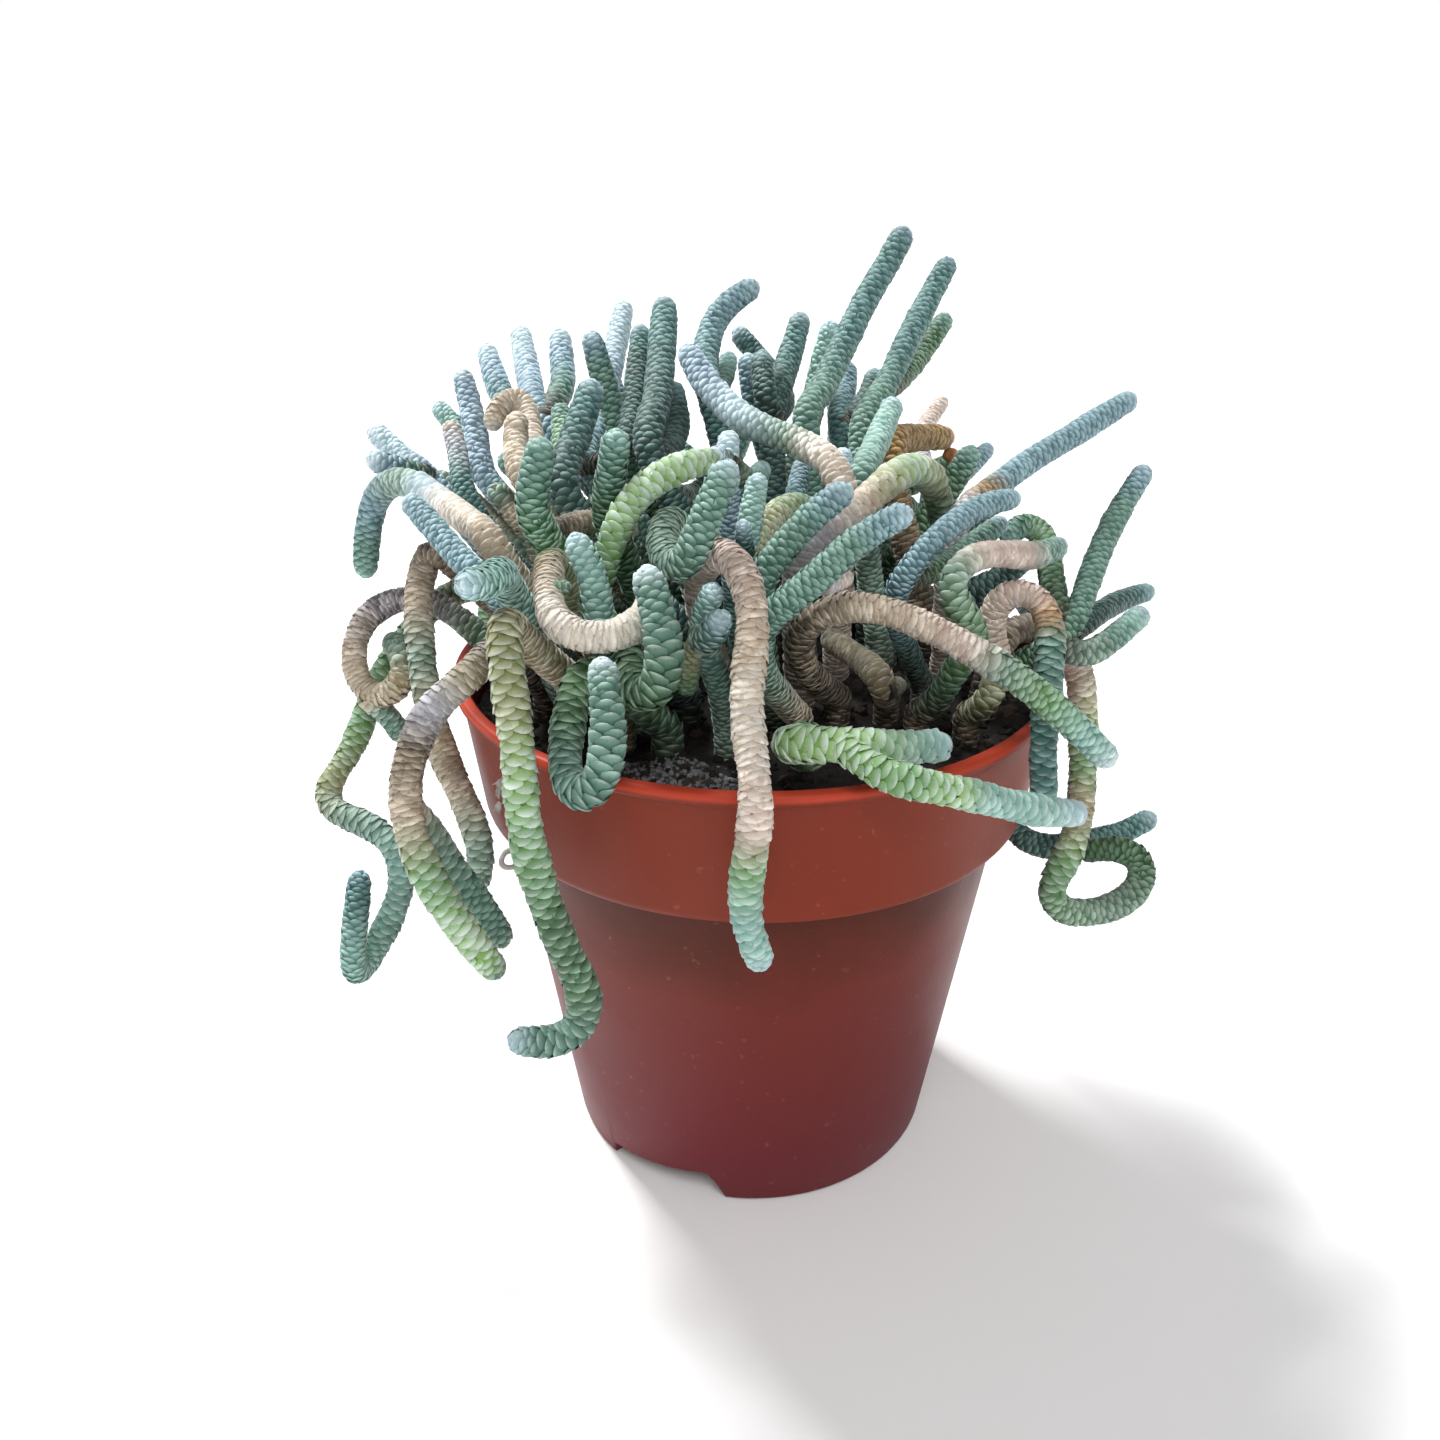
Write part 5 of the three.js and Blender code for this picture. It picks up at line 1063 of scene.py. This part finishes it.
strewing = loose_tree()
ball = bmesh.new()
bmesh.ops.create_icosphere(ball, subdivisions=1, radius=1)
for i, vert in enumerate(ball.verts):
    vert.co *= 1 + 0.25 * math.sin(5.3 * i)
crumb = bpy.data.objects.new("crumb", finished(ball, "crumb"))
for name, surface, finish, density, smallest, largest, seed in (
        ("peat_surface", soil_surface("peat", (0, 0), (SURFACE_RADIUS, SURFACE_RADIUS), 0.12), peat,
         520000.0, 0.00025, 0.0008, 3),
        ("sand_patch", soil_surface("sand", SAND_MIDDLE, SAND_REACH, 0.35), quartz,
         7500000.0, 0.00012, 0.0003, 5)):
    strewn = grow(strewing, surface, {"Grain": crumb, "Density": density, "Smallest": smallest,
                                      "Largest": largest, "Tilt": 3.14, "Seed": seed, "Finish": finish})
    piece = new_piece(name, strewn, finish, smooth=False)
    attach(piece, "root")
bpy.data.objects.remove(crumb)

# Dried remains
# One orange-brown seed capsule among the stems at the back right, a dried ring, and papery scraps that
# cling to the longest hanging stem. Each touches the stem that it is caught on.
CAPSULE_PLACE = (23.5, 26.25, 73.8)
RING_PLACE = (-21.1, -34.2, 52.4)
SCRAP_PLACES = ((-21.7, -33.0, 58.4), (-21.8, -33.4, 57.2), (-21.6, -33.2, 59.6))
SCRAP_HALF = 0.05
BODY_COLUMNS = 20

# Dried capsule wall: thin, brittle and brown, more orange where it is thick.
# Shed papery scales: thin, dull and grey-brown, with paler veins.
finishes = {}
for name, fineness, dark, pale, roughness in (
        ("Dried capsule wall", 1400.0, "#6b3a1c", "#c08a54", 0.7),
        ("Shed papery scales", 2200.0, "#5f564f", "#a8a29d", 0.75)):
    finishes[name], tree, shader = new_material(name)
    place = add_node(tree, "ShaderNodeTexCoord").outputs["Object"]
    veins = add_node(tree, "ShaderNodeTexNoise", {"Vector": place, "Scale": fineness, "Detail": 3.0})
    colour = add_node(tree, "ShaderNodeMixRGB", {"Fac": veins, "Color1": dark, "Color2": pale})
    set_inputs(shader, {"Base Color": colour, "Roughness": roughness})


def turned_body(name, place, outline, ribs):
    """A closed outline of (radius, height) turned round a tilted axis, with ribs, in millimetres."""
    shape = bmesh.new()
    rings = []
    for radius, height in outline:
        ring = []
        for k in range(BODY_COLUMNS):
            angle = 2 * math.pi * k / BODY_COLUMNS
            reach = radius * (1 + 0.08 * math.cos(ribs * angle))
            point = Vector((reach * math.cos(angle), reach * math.sin(angle), height))
            point.rotate(Euler((0.9, 0.5, 0)))
            ring.append(shape.verts.new((point + Vector(place)) / 1000))
        rings.append(ring)
    for low, high in zip(rings, rings[1:] + (rings[:1] if outline[0][0] > 0.3 else [])):
        for k in range(BODY_COLUMNS):
            after = (k + 1) % BODY_COLUMNS
            shape.faces.new((low[k], low[after], high[after], high[k]))
    bmesh.ops.remove_doubles(shape, verts=shape.verts, dist=1e-7)
    bmesh.ops.recalc_face_normals(shape, faces=shape.faces)
    return finished(shape, name)


def scrap_mesh(name):
    """Thin curled flakes, each with a front, a back and a rim."""
    shape = bmesh.new()
    for number, place in enumerate(SCRAP_PLACES):
        sides = []
        for depth in (SCRAP_HALF, -SCRAP_HALF):
            rows = []
            for i in range(5):
                u = i / 2 - 1
                row = []
                for k in range(5):
                    v = k / 2 - 1
                    ragged = 1 + 0.18 * math.sin(4 * i + 3 * k + number)
                    point = Vector((depth - 0.25 * v * v, 0.3 * v * ragged, 0.5 * u * ragged))
                    point.rotate(Euler((0.4 * number, 0.3 - 0.3 * number, 0.7 + 0.5 * number)))
                    row.append(shape.verts.new((point + Vector(place)) / 1000))
                rows.append(row)
            sides.append(rows)
        front, back = sides
        for i in range(4):
            for k in range(4):
                shape.faces.new((front[i][k], front[i][k + 1], front[i + 1][k + 1], front[i + 1][k]))
                shape.faces.new((back[i][k], back[i + 1][k], back[i + 1][k + 1], back[i][k + 1]))
            for row in (0, 4):
                shape.faces.new((front[i][row], front[i + 1][row], back[i + 1][row], back[i][row]))
                shape.faces.new((front[row][i], front[row][i + 1], back[row][i + 1], back[row][i]))
    bmesh.ops.recalc_face_normals(shape, faces=shape.faces)
    return finished(shape, name)


pod = [(0.001, -0.95), (0.45, -0.85), (0.85, -0.4), (0.95, 0.1), (0.75, 0.6), (0.35, 0.95), (0.15, 1.25),
       (0.001, 1.3)]
hoop = [(0.72 + 0.24 * math.cos(math.radians(a)), 0.3 * math.sin(math.radians(a))) for a in range(0, 360, 45)]
for name, mesh, finish in (
        ("seed_capsule", turned_body("seed_capsule", CAPSULE_PLACE, pod, 5), "Dried capsule wall"),
        ("dried_ring", turned_body("dried_ring", RING_PLACE, hoop, 3), "Shed papery scales"),
        ("papery_scraps", scrap_mesh("papery_scraps"), "Shed papery scales")):
    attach(new_piece(name, mesh, finishes[finish]), "root")

# The studio
# A pale floor, one large soft lamp behind the upper left, which throws the shadow to the front right, and
# a small weak one in front. The room is white near the floor's level and grey overhead.
FLOOR_REACH = 1.2
FLOOR_LEVEL = -0.0002
paper, tree, shader = new_material("Matt white paper")
place = add_node(tree, "ShaderNodeTexCoord").outputs["Object"]
pulp = add_node(tree, "ShaderNodeTexNoise", {"Vector": place, "Scale": 300.0, "Detail": 4.0})
colour = add_node(tree, "ShaderNodeMixRGB", {"Fac": pulp, "Color1": "#f9f9f9", "Color2": "#fcfcfc"})
set_inputs(shader, {"Base Color": colour, "Roughness": 0.9})
ground = bpy.data.meshes.new("floor")
ground.from_pydata([(x * FLOOR_REACH, y * FLOOR_REACH, FLOOR_LEVEL)
                    for x, y in ((-1, -1), (1, -1), (1, 1), (-1, 1))], [], [(0, 1, 2, 3)])
floor = new_piece("floor", ground, paper, smooth=False)

for name, place, size, power in (("key light", (-1.9, 2.3, 3.8), 1.1, 315),
                                 ("front light", (0.1, -0.8, 1.1), 0.5, 7.5)):
    lamp = bpy.data.lights.new(name, "AREA")
    lamp.size = size
    lamp.energy = power
    holder = bpy.data.objects.new(name, lamp)
    holder.location = place
    holder.rotation_euler = (Vector((0, 0, 0.05)) - Vector(place)).to_track_quat("-Z", "Y").to_euler()
    bpy.context.collection.objects.link(holder)

world = bpy.data.worlds.new("Bright studio")
world.use_nodes = True
room = world.node_tree
view = add_node(room, "ShaderNodeTexCoord").outputs["Generated"]
axes = add_node(room, "ShaderNodeSeparateXYZ", {"Vector": view})
level = add_node(room, "ShaderNodeMapRange", {"Value": axes.outputs["Z"], "From Min": 0.18, "From Max": 0.38,
                                              "To Min": 1.0, "To Max": 0.31})
set_inputs(room.nodes["Background"], {"Strength": level, "Color": "#ffffff"})
bpy.context.scene.world = world
bpy.context.scene.view_settings.view_transform = "Standard"

# The camera
# It stands where the photograph was taken from: above the plant's front and close to it, looking down
# at it through a lens that takes in 60 degrees.
FIELD = 60
SENSOR = 36
camera = bpy.data.objects.new("camera", bpy.data.cameras.new("camera"))
camera.data.sensor_width = SENSOR
camera.data.lens = SENSOR / 2 / math.tan(math.radians(FIELD / 2))
camera.data.clip_start = 0.01
camera.location = EYE / 1000
camera.rotation_euler = (math.pi / 2 - LOOK_DOWN, 0, LOOK_LEFT)
bpy.context.collection.objects.link(camera)
bpy.context.scene.camera = camera
